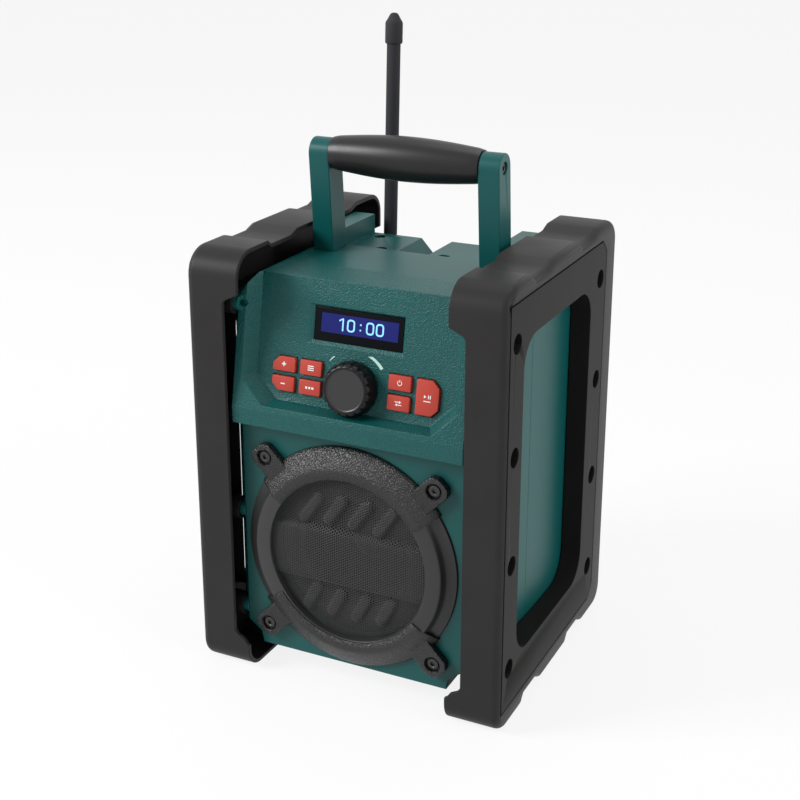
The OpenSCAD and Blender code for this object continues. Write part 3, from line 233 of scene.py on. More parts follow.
@dataclass(frozen=True)
class ShellFinish(Finish):
    """The green shells: coarse grain on the control head and fine grain below it.

    Attributes:
        head_from_mm: Height above which the grain is coarse.
        head_back_mm: Depth in front of which the grain is coarse.
        coarse_mm: Size of the coarse grain.
        coarse_depth_mm: Height of the coarse grain.
    """

    head_from_mm: float = 176.5
    head_back_mm: float = -40.0
    coarse_mm: float = 0.95
    coarse_depth_mm: float = 0.3

    def dress(self, nodes: Nodes, place: bpy.types.NodeSocket, surface: bpy.types.Node) -> None:
        """Links the colour and both grains, parted by where the head begins."""
        axes = nodes.add("SeparateXYZ", Vector=place)
        above = nodes.maths("GREATER_THAN", axes.outputs[2], self.head_from_mm * MM)
        front = nodes.maths("LESS_THAN", axes.outputs[1], self.head_back_mm * MM)
        on_head = nodes.maths("MULTIPLY", above, front)
        coarse = nodes.add(
            "TexVoronoi", {"feature": "SMOOTH_F1"}, Vector=place, Scale=1.0 / (self.coarse_mm * MM)
        ).outputs["Distance"]
        speck = nodes.noise(self.coarse_mm * 0.8, 1.0, place)
        pits = nodes.maths("MULTIPLY", nodes.maths("ADD", coarse, speck), on_head)
        fine = nodes.noise(self.grain_mm, 2.0, place)
        broad = nodes.noise(40.0, 3.0, place)
        tint = nodes.mix(broad, self.shade(-self.mottle), self.shade(self.mottle))
        darker = nodes.maths("MULTIPLY", nodes.maths("SUBTRACT", speck, 0.5), on_head)
        light = nodes.maths("ADD", 1.0, nodes.maths("MULTIPLY", darker, 0.9))
        node = nodes.add("VectorMath", {"operation": "SCALE"})
        nodes.put(node.inputs[0], tint)
        nodes.put(node.inputs["Scale"], light)
        nodes.put(surface.inputs["Base Color"], node.outputs[0])
        rough = nodes.add("MapRange", Value=fine, To_Min=self.roughness - 0.05, To_Max=self.roughness + 0.05)
        nodes.put(surface.inputs["Roughness"], rough.outputs[0])
        small = nodes.add("Bump", Height=fine, Distance=self.depth_mm * MM)
        large = nodes.add(
            "Bump", Height=pits, Distance=self.coarse_depth_mm * MM, Normal=small.outputs[0]
        )
        nodes.put(surface.inputs["Normal"], large.outputs[0])


@dataclass(frozen=True)
class LitFinish(Finish):
    """A backlit or printed-light surface.

    Attributes:
        glow: Strength of the light it gives off.
    """

    glow: float = 0.4

    def dress(self, nodes: Nodes, place: bpy.types.NodeSocket, surface: bpy.types.Node) -> None:
        """Links an uneven glow over the plain surface."""
        broad = nodes.noise(9.0, 2.0, place)
        tint = nodes.mix(broad, self.shade(-self.mottle), self.shade(self.mottle))
        nodes.put(surface.inputs["Base Color"], tint)
        nodes.put(surface.inputs["Emission Color"], tint)
        surface.inputs["Emission Strength"].default_value = self.glow
        surface.inputs["Roughness"].default_value = self.roughness


GREEN = ShellFinish(
    "green_shell_plastic", "green_plastic", (0.002, 0.076, 0.073), 0.4, 0.7, 0.014, mottle=0.1, specular=0.3)
GREEN_SMOOTH = Finish(
    "green_smooth_plastic", "green_plastic", (0.002, 0.078, 0.076), 0.34, 0.6, 0.008, mottle=0.08, specular=0.25)
BUMPER = Finish(
    "black_soft_moulding", "black_moulding", (0.027, 0.0255, 0.0255), 0.42, 0.45, 0.012, mottle=0.12, specular=0.1)
PLATE = Finish(
    "black_side_plate", "plate_plastic", (0.014, 0.0135, 0.013), 0.4, 0.5, 0.006, mottle=0.12, specular=0.04)
RING = Finish(
    "textured_black_ring", "black_plastic", (0.009, 0.009, 0.0095), 0.28, 0.75, 0.42, GrainKind.PEBBLE, 0.12,
    specular=0.45)
RING_SMOOTH = Finish(
    "smooth_black_ring", "black_plastic", (0.024, 0.024, 0.025), 0.4, 0.6, 0.014, mottle=0.1, specular=0.4)
KNOB = Finish(
    "black_knob_plastic", "black_plastic", (0.004, 0.004, 0.0045), 0.34, 0.5, 0.012, mottle=0.1, specular=0.22)
# The knob's dished face: the knob's own black plastic made lighter, painted light where the face turns to the
# lamps.
KNOB_FACE_PAINTED_LIGHT = Finish(
    "knob_face_plastic", "black_plastic", (0.02, 0.02, 0.021), 0.34, 0.5, 0.006, mottle=0.08, specular=0.4)
GRIP = Finish(
    "grip_rubber", "black_moulding", (0.011, 0.0105, 0.0105), 0.34, 0.9, 0.03, mottle=0.12, specular=0.3)
AERIAL = Finish(
    "antenna_rubber", "antenna_rubber", (0.004, 0.004, 0.0045), 0.34, 0.5, 0.006, mottle=0.1, specular=0.2)
SCREW = Finish("blackened_screw", "screw_steel", (0.05, 0.05, 0.052), 0.3, 0.3, 0.006, metallic=0.8)
STEEL = Finish("zinc_plated_steel", "steel", (0.5, 0.5, 0.51), 0.32, 0.4, 0.004, metallic=1.0)
GRILLE = Finish(
    "coated_grille", "grille_steel", (0.03, 0.03, 0.031), 0.3, 0.4, 0.004, mottle=0.06, specular=0.6)
FOAM = Finish("gasket_and_surround", "rubber_black", (0.014, 0.014, 0.014), 0.8, 0.6, 0.05, GrainKind.PEBBLE)
PAPER = Finish("cone_paper", "speaker_paper", (0.004, 0.004, 0.0045), 0.7, 0.8, 0.03, specular=0.05)
DOME = Finish("cap_paper", "speaker_paper", (0.012, 0.012, 0.013), 0.45, 0.8, 0.01, specular=0.2)
RED = Finish(
    "red_button_plastic", "red_plastic", (0.46, 0.05, 0.033), 0.42, 0.5, 0.006, mottle=0.1, specular=0.3)
PRINT = Finish("pale_print", "display_blue", (0.78, 0.84, 0.83), 0.5, 0.5, 0.001, mottle=0.03)
MINT = Finish("mint_print", "display_blue", (0.5, 0.74, 0.68), 0.5, 0.5, 0.001, mottle=0.03)
GLASS = Finish(
    "dark_window", "screen_plastic", (0.004, 0.0045, 0.006), 0.22, 0.8, 0.001, mottle=0.02, specular=0.06)
LCD = LitFinish(
    "lit_display", "display_blue", (0.012, 0.015, 0.105), 0.3, mottle=0.12, glow=0.55, specular=0.06)
DIGIT = LitFinish("lit_digits", "display_blue", (0.25, 0.6, 0.95), 0.4, mottle=0.04, glow=0.5, specular=0.1)
BOARD = Finish("solder_mask", "circuit_board", (0.02, 0.14, 0.05), 0.35, 1.5, 0.02, mottle=0.15)
SILICONE = Finish("silicone_mat", "silicone", (0.45, 0.45, 0.45), 0.6, 0.6, 0.01)
CELL = Finish("cell_wrap", "cell_wrap", (0.12, 0.13, 0.15), 0.3, 0.8, 0.004)
DARK = Finish("plain_black_plastic", "black_plastic", (0.018, 0.018, 0.019), 0.5, 0.6, 0.02)


# ------------------------------------------------------------------ shapes


class Shape:
    """A closed form under construction, in millimetres."""

    def __init__(self) -> None:
        """Starts with nothing."""
        self.bm = bmesh.new()

    @classmethod
    def prism(cls, outline: Sequence[Point], low: float, high: float) -> "Shape":
        """Extrudes an outline along Z.

        Args:
            outline: Corners in order.
            low: Height of the base.
            high: Height of the top.

        Returns:
            The closed prism.
        """
        shape = cls()
        face = shape.bm.faces.new([shape.bm.verts.new((x, y, low)) for x, y in outline])
        grown = bmesh.ops.extrude_face_region(shape.bm, geom=[face])
        moved = [v for v in grown["geom"] if isinstance(v, bmesh.types.BMVert)]
        bmesh.ops.translate(shape.bm, verts=moved, vec=(0, 0, high - low))
        return shape.outward()

    @classmethod
    def turned(cls, profile: Sequence[Point], steps: int = 96, angle: float = 360.0, start: float = 0.0) -> "Shape":
        """Spins a profile of (radius, height) points round Z.

        Args:
            profile: Points in order; the ends meet unless both lie on the axis.
            steps: Steps in the whole turn.
            angle: Degrees to turn through.
            start: Degrees at which the turn starts.

        Returns:
            The closed form.
        """
        shape = cls()
        bm = shape.bm
        verts = [bm.verts.new((r, 0, z)) for r, z in profile]
        edges = [bm.edges.new(pair) for pair in zip(verts, verts[1:])]
        if profile[0][0] > 1e-6 or profile[-1][0] > 1e-6:
            edges.append(bm.edges.new((verts[-1], verts[0])))
        full = angle >= 360.0
        bmesh.ops.rotate(bm, verts=verts, cent=(0, 0, 0), matrix=Matrix.Rotation(math.radians(start), 3, "Z"))
        bmesh.ops.spin(
            bm, geom=verts + edges, cent=(0, 0, 0), axis=(0, 0, 1), angle=math.radians(angle),
            steps=steps, use_merge=full, use_duplicate=False,
        )
        bmesh.ops.remove_doubles(bm, verts=bm.verts, dist=1e-4)
        if not full:
            bmesh.ops.holes_fill(bm, edges=[e for e in bm.edges if e.is_boundary], sides=0)
        return shape.outward()

    @classmethod
    def from_node(cls, node: str) -> "Shape":
        """Copies a CAD node's mesh, with its loose triangles joined."""
        shape = cls()
        shape.bm.from_mesh(frame["nodes"][node].data)
        bmesh.ops.scale(shape.bm, verts=shape.bm.verts, vec=(1 / MM,) * 3)
        bmesh.ops.remove_doubles(shape.bm, verts=shape.bm.verts, dist=0.002)
        return shape

    def flattened(self) -> "Shape":
        """Joins triangles that lie in one plane."""
        bmesh.ops.dissolve_limit(
            self.bm, angle_limit=math.radians(0.4), use_dissolve_boundaries=False,
            verts=self.bm.verts, edges=self.bm.edges,
        )
        return self

    def outward(self) -> "Shape":
        """Turns all faces outwards."""
        bmesh.ops.recalc_face_normals(self.bm, faces=self.bm.faces)
        return self

    def moved(self, place: Matrix) -> "Shape":
        """Moves the form by a matrix."""
        self.bm.transform(place)
        if place.determinant() < 0:
            self.outward()
        return self

    def joined(self, others: Iterable["Shape"]) -> "Shape":
        """Takes other forms in as further shells."""
        for other in others:
            mesh = bpy.data.meshes.new("part")
            other.bm.to_mesh(mesh)
            other.bm.free()
            self.bm.from_mesh(mesh)
            bpy.data.meshes.remove(mesh)
        return self

    def softened(
        self, width: float, segments: int = 2, angle: float = 30.0,
        where: Callable[[bmesh.types.BMEdge], bool] | None = None,
    ) -> "Shape":
        """Rounds the edges that turn by more than an angle.

        Args:
            width: Width of the rounding.
            segments: Facets across it.
            angle: Least turn, in degrees.
            where: Picks among those edges.

        Returns:
            The form itself.
        """
        least = math.radians(angle)
        edges = [
            e for e in self.bm.edges
            if len(e.link_faces) == 2 and e.calc_face_angle(0.0) > least and (where is None or where(e))
        ]
        bmesh.ops.bevel(
            self.bm, geom=edges, offset=width, offset_type="OFFSET", affect="EDGES",
            segments=segments, profile=0.5, material=-1, clamp_overlap=True,
        )
        return self

    def cut(self, tools: Iterable["Shape"]) -> "Shape":
        """Takes other forms away from this one, by exact booleans."""
        body = _linked("body", self.bm)
        for tool in tools:
            other = _linked("tool", tool.bm)
            step = body.modifiers.new("cut", "BOOLEAN")
            step.operation, step.solver, step.object = "DIFFERENCE", "EXACT", other
            graph = bpy.context.evaluated_depsgraph_get()
            result = bpy.data.meshes.new_from_object(body.evaluated_get(graph))
            body.modifiers.clear()
            old, body.data = body.data, result
            bpy.data.meshes.remove(old)
            _dropped(other)
        self.bm = bmesh.new()
        self.bm.from_mesh(body.data)
        _dropped(body)
        return self


def _linked(name: str, bm: bmesh.types.BMesh) -> bpy.types.Object:
    """Makes a scene object of a bmesh and frees it."""
    mesh = bpy.data.meshes.new(name)
    bm.to_mesh(mesh)
    bm.free()
    thing = bpy.data.objects.new(name, mesh)
    bpy.context.scene.collection.objects.link(thing)
    return thing


def _dropped(thing: bpy.types.Object) -> None:
    """Deletes a scene object with its mesh."""
    mesh = thing.data
    bpy.data.objects.remove(thing)
    bpy.data.meshes.remove(mesh)


@dataclass
class Piece:
    """A finished piece on its way into the scene.

    Attributes:
        name: The piece's name.
        shape: Its form, in millimetres.
        finishes: Its finishes, in the order of its faces' material numbers.
        part: The body that it rides on.
        stands_for: The CAD nodes that it replaces.
        sharp: Angle above which an edge stays sharp, in degrees.
        rounding: Width of a Bevel modifier in millimetres, or 0.
    """

    name: str
    shape: Shape
    finishes: Sequence[Finish]
    part: str
    stands_for: Sequence[str] = ()
    sharp: float = 35.0
    rounding: float = 0.0

    def add(self) -> bpy.types.Object:
        """Puts the piece in the scene, on its body."""
        self.shape.moved(Matrix.Scale(MM, 4))
        mesh = bpy.data.meshes.new(self.name)
        self.shape.bm.to_mesh(mesh)
        self.shape.bm.free()
        mesh.polygons.foreach_set("use_smooth", [True] * len(mesh.polygons))
        mesh.set_sharp_from_angle(angle=math.radians(self.sharp))
        for finish in self.finishes:
            mesh.materials.append(finish.material())
        thing = bpy.data.objects.new(self.name, mesh)
        bpy.context.scene.collection.objects.link(thing)
        if self.rounding:
            edge = thing.modifiers.new("rounding", "BEVEL")
            edge.width, edge.segments, edge.limit_method = self.rounding * MM, 2, "ANGLE"
            edge.angle_limit, edge.harden_normals = math.radians(self.sharp), True
            edge.offset_type, edge.use_clamp_overlap = "OFFSET", False
        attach(thing, str(self.part))
        if self.stands_for:
            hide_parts(*self.stands_for)
        LOG.info("%s: %d faces", self.name, len(mesh.polygons))
        return thing


def shift(x: float, y: float, z: float) -> Matrix:
    """Returns a move in millimetres."""
    return Matrix.Translation((x, y, z))


def turn(degrees: float, axis: str) -> Matrix:
    """Returns a turn about an axis."""
    return Matrix.Rotation(math.radians(degrees), 4, axis)


def rounded(outline: Sequence[Point], radii: Sequence[float] | float, steps: int = 6) -> list[Point]:
    """Rounds the corners of an outline.

    Args:
        outline: Corners in order.
        radii: One radius for all corners, or one each.
        steps: Segments in each round.

    Returns:
        The outline with its corners rounded by a bevel.
    """
    bm = bmesh.new()
    verts = [bm.verts.new((x, y, 0)) for x, y in outline]
    bm.faces.new(verts)
    each = [radii] * len(verts) if isinstance(radii, (int, float)) else list(radii)
    for radius in sorted({r for r in each if r > 0}):
        chosen = [v for v, r in zip(verts, each) if r == radius and v.is_valid]
        bmesh.ops.bevel(
            bm, geom=chosen, offset=radius, offset_type="OFFSET", affect="VERTICES",
            segments=steps, profile=0.5, material=-1, clamp_overlap=True,
        )
    bm.faces.ensure_lookup_table()
    points = [(loop.vert.co.x, loop.vert.co.y) for loop in bm.faces[0].loops]
    bm.free()
    return points


def box_outline(x0: float, y0: float, x1: float, y1: float) -> list[Point]:
    """Returns the corners of an upright rectangle."""
    return [(x0, y0), (x1, y0), (x1, y1), (x0, y1)]


# ------------------------------------------------------------------ small hardware


@dataclass
class SocketScrew:
    """A screw head with a hexagon socket.

    Attributes:
        radius: Radius of the head.
        height: Height of the head.
        socket: Radius of the socket across its corners.
        finish: Its surface; not used.
    """

    radius: float = 3.9
    height: float = 2.2
    socket: float = 1.7
    finish: Finish = SCREW

    def head(self) -> Shape:
        """Builds the head on Z = 0 with its socket cut in."""
        r, h, s = self.radius, self.height, self.socket
        body = Shape.turned([
            (0, -0.4), (r, -0.4), (r, h * 0.55), (r * 0.95, h * 0.86), (r * 0.8, h), (s * 1.35, h),
            (s * 1.2, h - 0.25), (0, h - 0.25)], 40)
        hexagon = [(s * math.cos(a), s * math.sin(a)) for a in (math.radians(60 * k) for k in range(6))]
        return body.cut([Shape.prism(hexagon, h - 1.4, h + 1)])

    def set_at(self, places: Iterable[Matrix]) -> Shape:
        """Builds one head at each place."""
        heads = [self.head().moved(place) for place in places]
        return heads[0].joined(heads[1:])


# ------------------------------------------------------------------ controls


@dataclass
class ControlPanel:
    """Everything on the tilted panel, drawn in the panel's own frame.

    Attributes:
        tilt: Backward tilt, in degrees.
        depth: How far the knob's centre lies in front of the radio's middle.
        height: Height of the knob's centre.
        travel_gap: How deep a button reaches under the panel.
        rise: How far a button stands out.
        buttons: Each button's centre, width, height and four corner cuts.
    """

    tilt: float = 10.5
    depth: float = 83.0
    height: float = 212.0
    travel_gap: float = 4.4
    rise: float = 2.0
    buttons: dict[str, Button] = field(default_factory=lambda: {
        "tune_up_button": (-49.5, 8.4, 16.3, 9.6, 4.5, 0, 0, 0),
        "tune_down_button": (-49.5, -4.4, 16.3, 9.6, 0, 4.5, 0, 0),
        "menu_button": (-30, 8.4, 15.5, 9.6, 0, 0, 0, 0),
        "preset_button": (-30, -4.4, 15.5, 9.6, 0, 0, 0, 0),
        "power_button": (32.6, 8.4, 15.5, 9.6, 0, 0, 0, 0),
        "source_button": (32.6, -4.4, 15.5, 9.6, 0, 0, 0, 0),
        "enter_button": (51.8, 2.0, 15.5, 22.4, 0, 0, 4.5, 4.5),
    })

    @property
    def place(self) -> Matrix:
        """The panel's frame: X right, Y up the panel, Z out of it."""
        return shift(0, -self.depth, self.height) @ turn(90 - self.tilt, "X")

    def build(self) -> None:
        """Adds the buttons, the knob, the display and the prints."""
        for name in self.buttons:
            self.button(name)
        self.knob()
        self.display()
        self.prints()

    def outline(self, name: str, grow: float = 0.0) -> list[Point]:
        """Returns a button's outline, with its cut corners, about its centre."""
        _, _, w, h, lt, lb, rt, rb = self.buttons[name]
        w, h = w / 2 + grow, h / 2 + grow
        corners = [(-w, h - lt), (-w + lt, h), (w - rt, h), (w, h - rt),
                   (w, -h + rb), (w - rb, -h), (-w + lb, -h), (-w, -h + lb)]
        kept: list[Point] = []
        for point in corners:
            if not kept or (abs(point[0] - kept[-1][0]) + abs(point[1] - kept[-1][1])) > 1e-6:
                kept.append(point)
        if abs(kept[0][0] - kept[-1][0]) + abs(kept[0][1] - kept[-1][1]) < 1e-6:
            kept.pop()
        return kept

    def button(self, name: str) -> None:
        """Adds one button: a rounded cap over a flange, with its printed sign."""
        x, v = self.buttons[name][:2]
        cap = Shape.prism(rounded(self.outline(name), 0.9, 3), -self.travel_gap + 1, self.rise)
        cap.softened(0.55, 3, 40, lambda e: all(vert.co.z > self.rise - 0.01 for vert in e.verts))
        flange = Shape.prism(self.outline(name, 1.4), -self.travel_gap, -self.travel_gap + 1.2)
        place = self.place @ shift(x, v, 0)
        Piece(name + "_cap", cap.joined([flange]).moved(place), [RED], name, [name]).add()
        marks = self.sign(name)
        if marks:
            sign = marks[0].joined(marks[1:]).moved(place @ shift(0, 0, self.rise))
            Piece(name + "_print", sign, [PRINT], name).add()

    def sign(self, name: str) -> list[Shape]:
        """Returns the thin shapes of a button's sign, a plain mark and not a word."""
        def bar(x0: float, y0: float, x1: float, y1: float) -> Shape:
            return Shape.prism(box_outline(x0, y0, x1, y1), PRINT_LOW, PRINT_HIGH)

        def ring(r: float, t: float, start: float, angle: float) -> Shape:
            section = [(r, PRINT_LOW), (r + t, PRINT_LOW), (r + t, PRINT_HIGH), (r, PRINT_HIGH)]
            return Shape.turned(section, 24, angle, start)

        def arrow(x: float, y: float, s: float) -> Shape:
            corners = [(x, y - abs(s)), (x + s * 1.5, y), (x, y + abs(s))]
            return Shape.prism(corners[:: 1 if s > 0 else -1], PRINT_LOW, PRINT_HIGH)

        return {
            "tune_up_button": [bar(-1.5, -0.4, 1.5, 0.4), bar(-0.4, 0.4, 0.4, 1.5), bar(-0.4, -1.5, 0.4, -0.4)],
            "tune_down_button": [bar(-1.5, -0.4, 1.5, 0.4)],
            "menu_button": [bar(-2.2, 1.0, 2.2, 1.6), bar(-2.2, -0.3, 2.2, 0.3), bar(-2.2, -1.6, 2.2, -1.0)],
            "preset_button": [bar(-2.9, -0.7, -1.5, 0.7), bar(-0.7, -0.7, 0.7, 0.7), bar(1.5, -0.7, 2.9, 0.7)],
            "power_button": [ring(1.2, 0.45, 125, 290), bar(-0.22, 0.5, 0.22, 2.1)],
            "source_button": [
                arrow(0.6, 0.9, 1.0), bar(-2.4, 0.65, 0.6, 1.15),
                arrow(-0.6, -0.9, -1.0), bar(-0.6, -1.15, 2.4, -0.65)],
            "enter_button": [
                arrow(-2.2, 0.8, 1.1), bar(0.6, -0.3, 1.2, 1.9),
                bar(1.8, -0.3, 2.4, 1.9), bar(-2.4, -2.4, 2.4, -1.8)],
        }[name]

    def knob(self) -> None:
        """Adds the volume knob: a scalloped skirt under a dished face, the face made lighter as painted light."""
        count, per = 18, 8
        skirt = [(17.2, 0.5, 0.0), (17.6, 1.2, 0.0), (17.6, 2.2, 0.0), (17.1, 8.6, 1.15), (16.3, 10.6, 1.15),
                 (15.0, 11.8, 0.35)]
        shape = Shape()
        bm = shape.bm
        made = bmesh.ops.create_circle(bm, cap_ends=False, segments=count * per, radius=1.0)
        edges = list({e for v in made["verts"] for e in v.link_edges})
        first = edges

        def grown(loop: list[bmesh.types.BMEdge]) -> list[bmesh.types.BMEdge]:
            geometry = bmesh.ops.extrude_edge_only(bm, edges=loop)["geom"]
            return [e for e in geometry if isinstance(e, bmesh.types.BMEdge)]

        def widened(loop: list[bmesh.types.BMEdge], radius: float, z: float, flute: float = 0.0) -> None:
            for vert in {v for e in loop for v in e.verts}:
                a = math.atan2(vert.co.y, vert.co.x)
                r = radius - flute * max(0.0, math.cos(a * count)) ** 2
                vert.co = (r * math.cos(a), r * math.sin(a), z)

        for index, (radius, z, flute) in enumerate(skirt):
            edges = grown(edges) if index else edges
            widened(edges, radius, z, flute)
        for radius, z in ((14.1, 12.0), (13.2, 11.9), (12.4, 11.2), (6.0, 11.1)):
            edges = grown(edges)
            widened(edges, radius, z)
        bmesh.ops.contextual_create(bm, geom=edges)
        for radius, z in ((7.0, 0.5), (7.0, 3.1)):
            first = grown(first)
            widened(first, radius, z)
        bmesh.ops.contextual_create(bm, geom=first)
        shape.outward()
        # The dished face takes the second, lighter finish: painted light on the knob's top.
        for face in bm.faces:
            middle = face.calc_center_median()
            if middle.xy.length < 13.0 and middle.z > 10.5:
                face.material_index = 1
        Piece("volume_knob_cap", shape.moved(self.place), [KNOB, KNOB_FACE_PAINTED_LIGHT], Part.KNOB, ["volume_knob"], 40).add()

    def display(self) -> None:
        """Adds the dark window, the lit field behind it and its digits."""
        v = 37.4
        place = self.place @ shift(0, v, 0)
        window = Shape.prism(rounded(box_outline(-31.2, -10.8, 31.2, 10.8), 1.0, 3), -3.2, -1.5)
        window.softened(0.25, 2, 60)
        Piece("display_glass", window.moved(place), [GLASS], Part.RADIO, ["display_window"]).add()
        lit = Shape.prism(box_outline(-26.5, -4.9, 27.5, 7.3), -1.5, -1.44)
        Piece("display_field", lit.moved(place), [LCD], Part.RADIO).add()
        digits = self.digits().moved(place @ shift(1.5, 1.1, -1.44))
        Piece("display_digits", digits, [DIGIT], Part.RADIO).add()

    def digits(self) -> Shape:
        """Returns the figures of a clock reading, built from strokes."""
        h, w, t = 8.0, 5.6, 1.05
        forms: list[Shape] = []

        def bar(x0: float, y0: float, x1: float, y1: float) -> None:
            forms.append(Shape.prism(box_outline(x0, y0, x1, y1), 0.0, PRINT_HIGH))

        def zero(x: float) -> None:
            outer = rounded(box_outline(x - w / 2, -h / 2, x + w / 2, h / 2), 2.2, 5)
            inner = rounded(box_outline(x - w / 2 + t, -h / 2 + t, x + w / 2 - t, h / 2 - t), 1.3, 5)
            forms.append(Shape.prism(outer, 0.0, PRINT_HIGH).cut([Shape.prism(inner, -1, 1)]))

        bar(-13.2, -h / 2, -12.2, h / 2)
        flag = [(-15.4, h / 2 - 2.2), (-13.2, h / 2 - 0.9), (-13.2, h / 2), (-15.4, h / 2 - 1.2)]
        forms.append(Shape.prism(flag, 0.0, PRINT_HIGH))
        zero(-7.0)
        bar(-0.75, 1.0, 0.25, 2.0)
        bar(-0.75, -2.4, 0.25, -1.4)
        zero(6.4)
        zero(13.2)
        return forms[0].joined(forms[1:])

    def prints(self) -> None:
        """Adds the two crescents over the knob: thin to thick, as a volume scale."""
        def crescent(a0: float, a1: float, t0: float, t1: float) -> Shape:
            steps = 14
            outer, inner = [], []
            for k in range(steps + 1):
                share = k / steps
                a = math.radians(a0 + (a1 - a0) * share)
                t = t0 + (t1 - t0) * share
                outer.append(((23.0 + t) * math.cos(a), (23.0 + t) * math.sin(a)))
                inner.append((23.0 * math.cos(a), 23.0 * math.sin(a)))
            return Shape.prism(outer + inner[::-1], -0.02, 0.04)

        marks = crescent(140, 109, 0.4, 1.4).joined([crescent(71, 38, 1.5, 2.1)])
        Piece("volume_scale_print", marks.moved(self.place), [MINT], Part.RADIO).add()


# ------------------------------------------------------------------ speaker


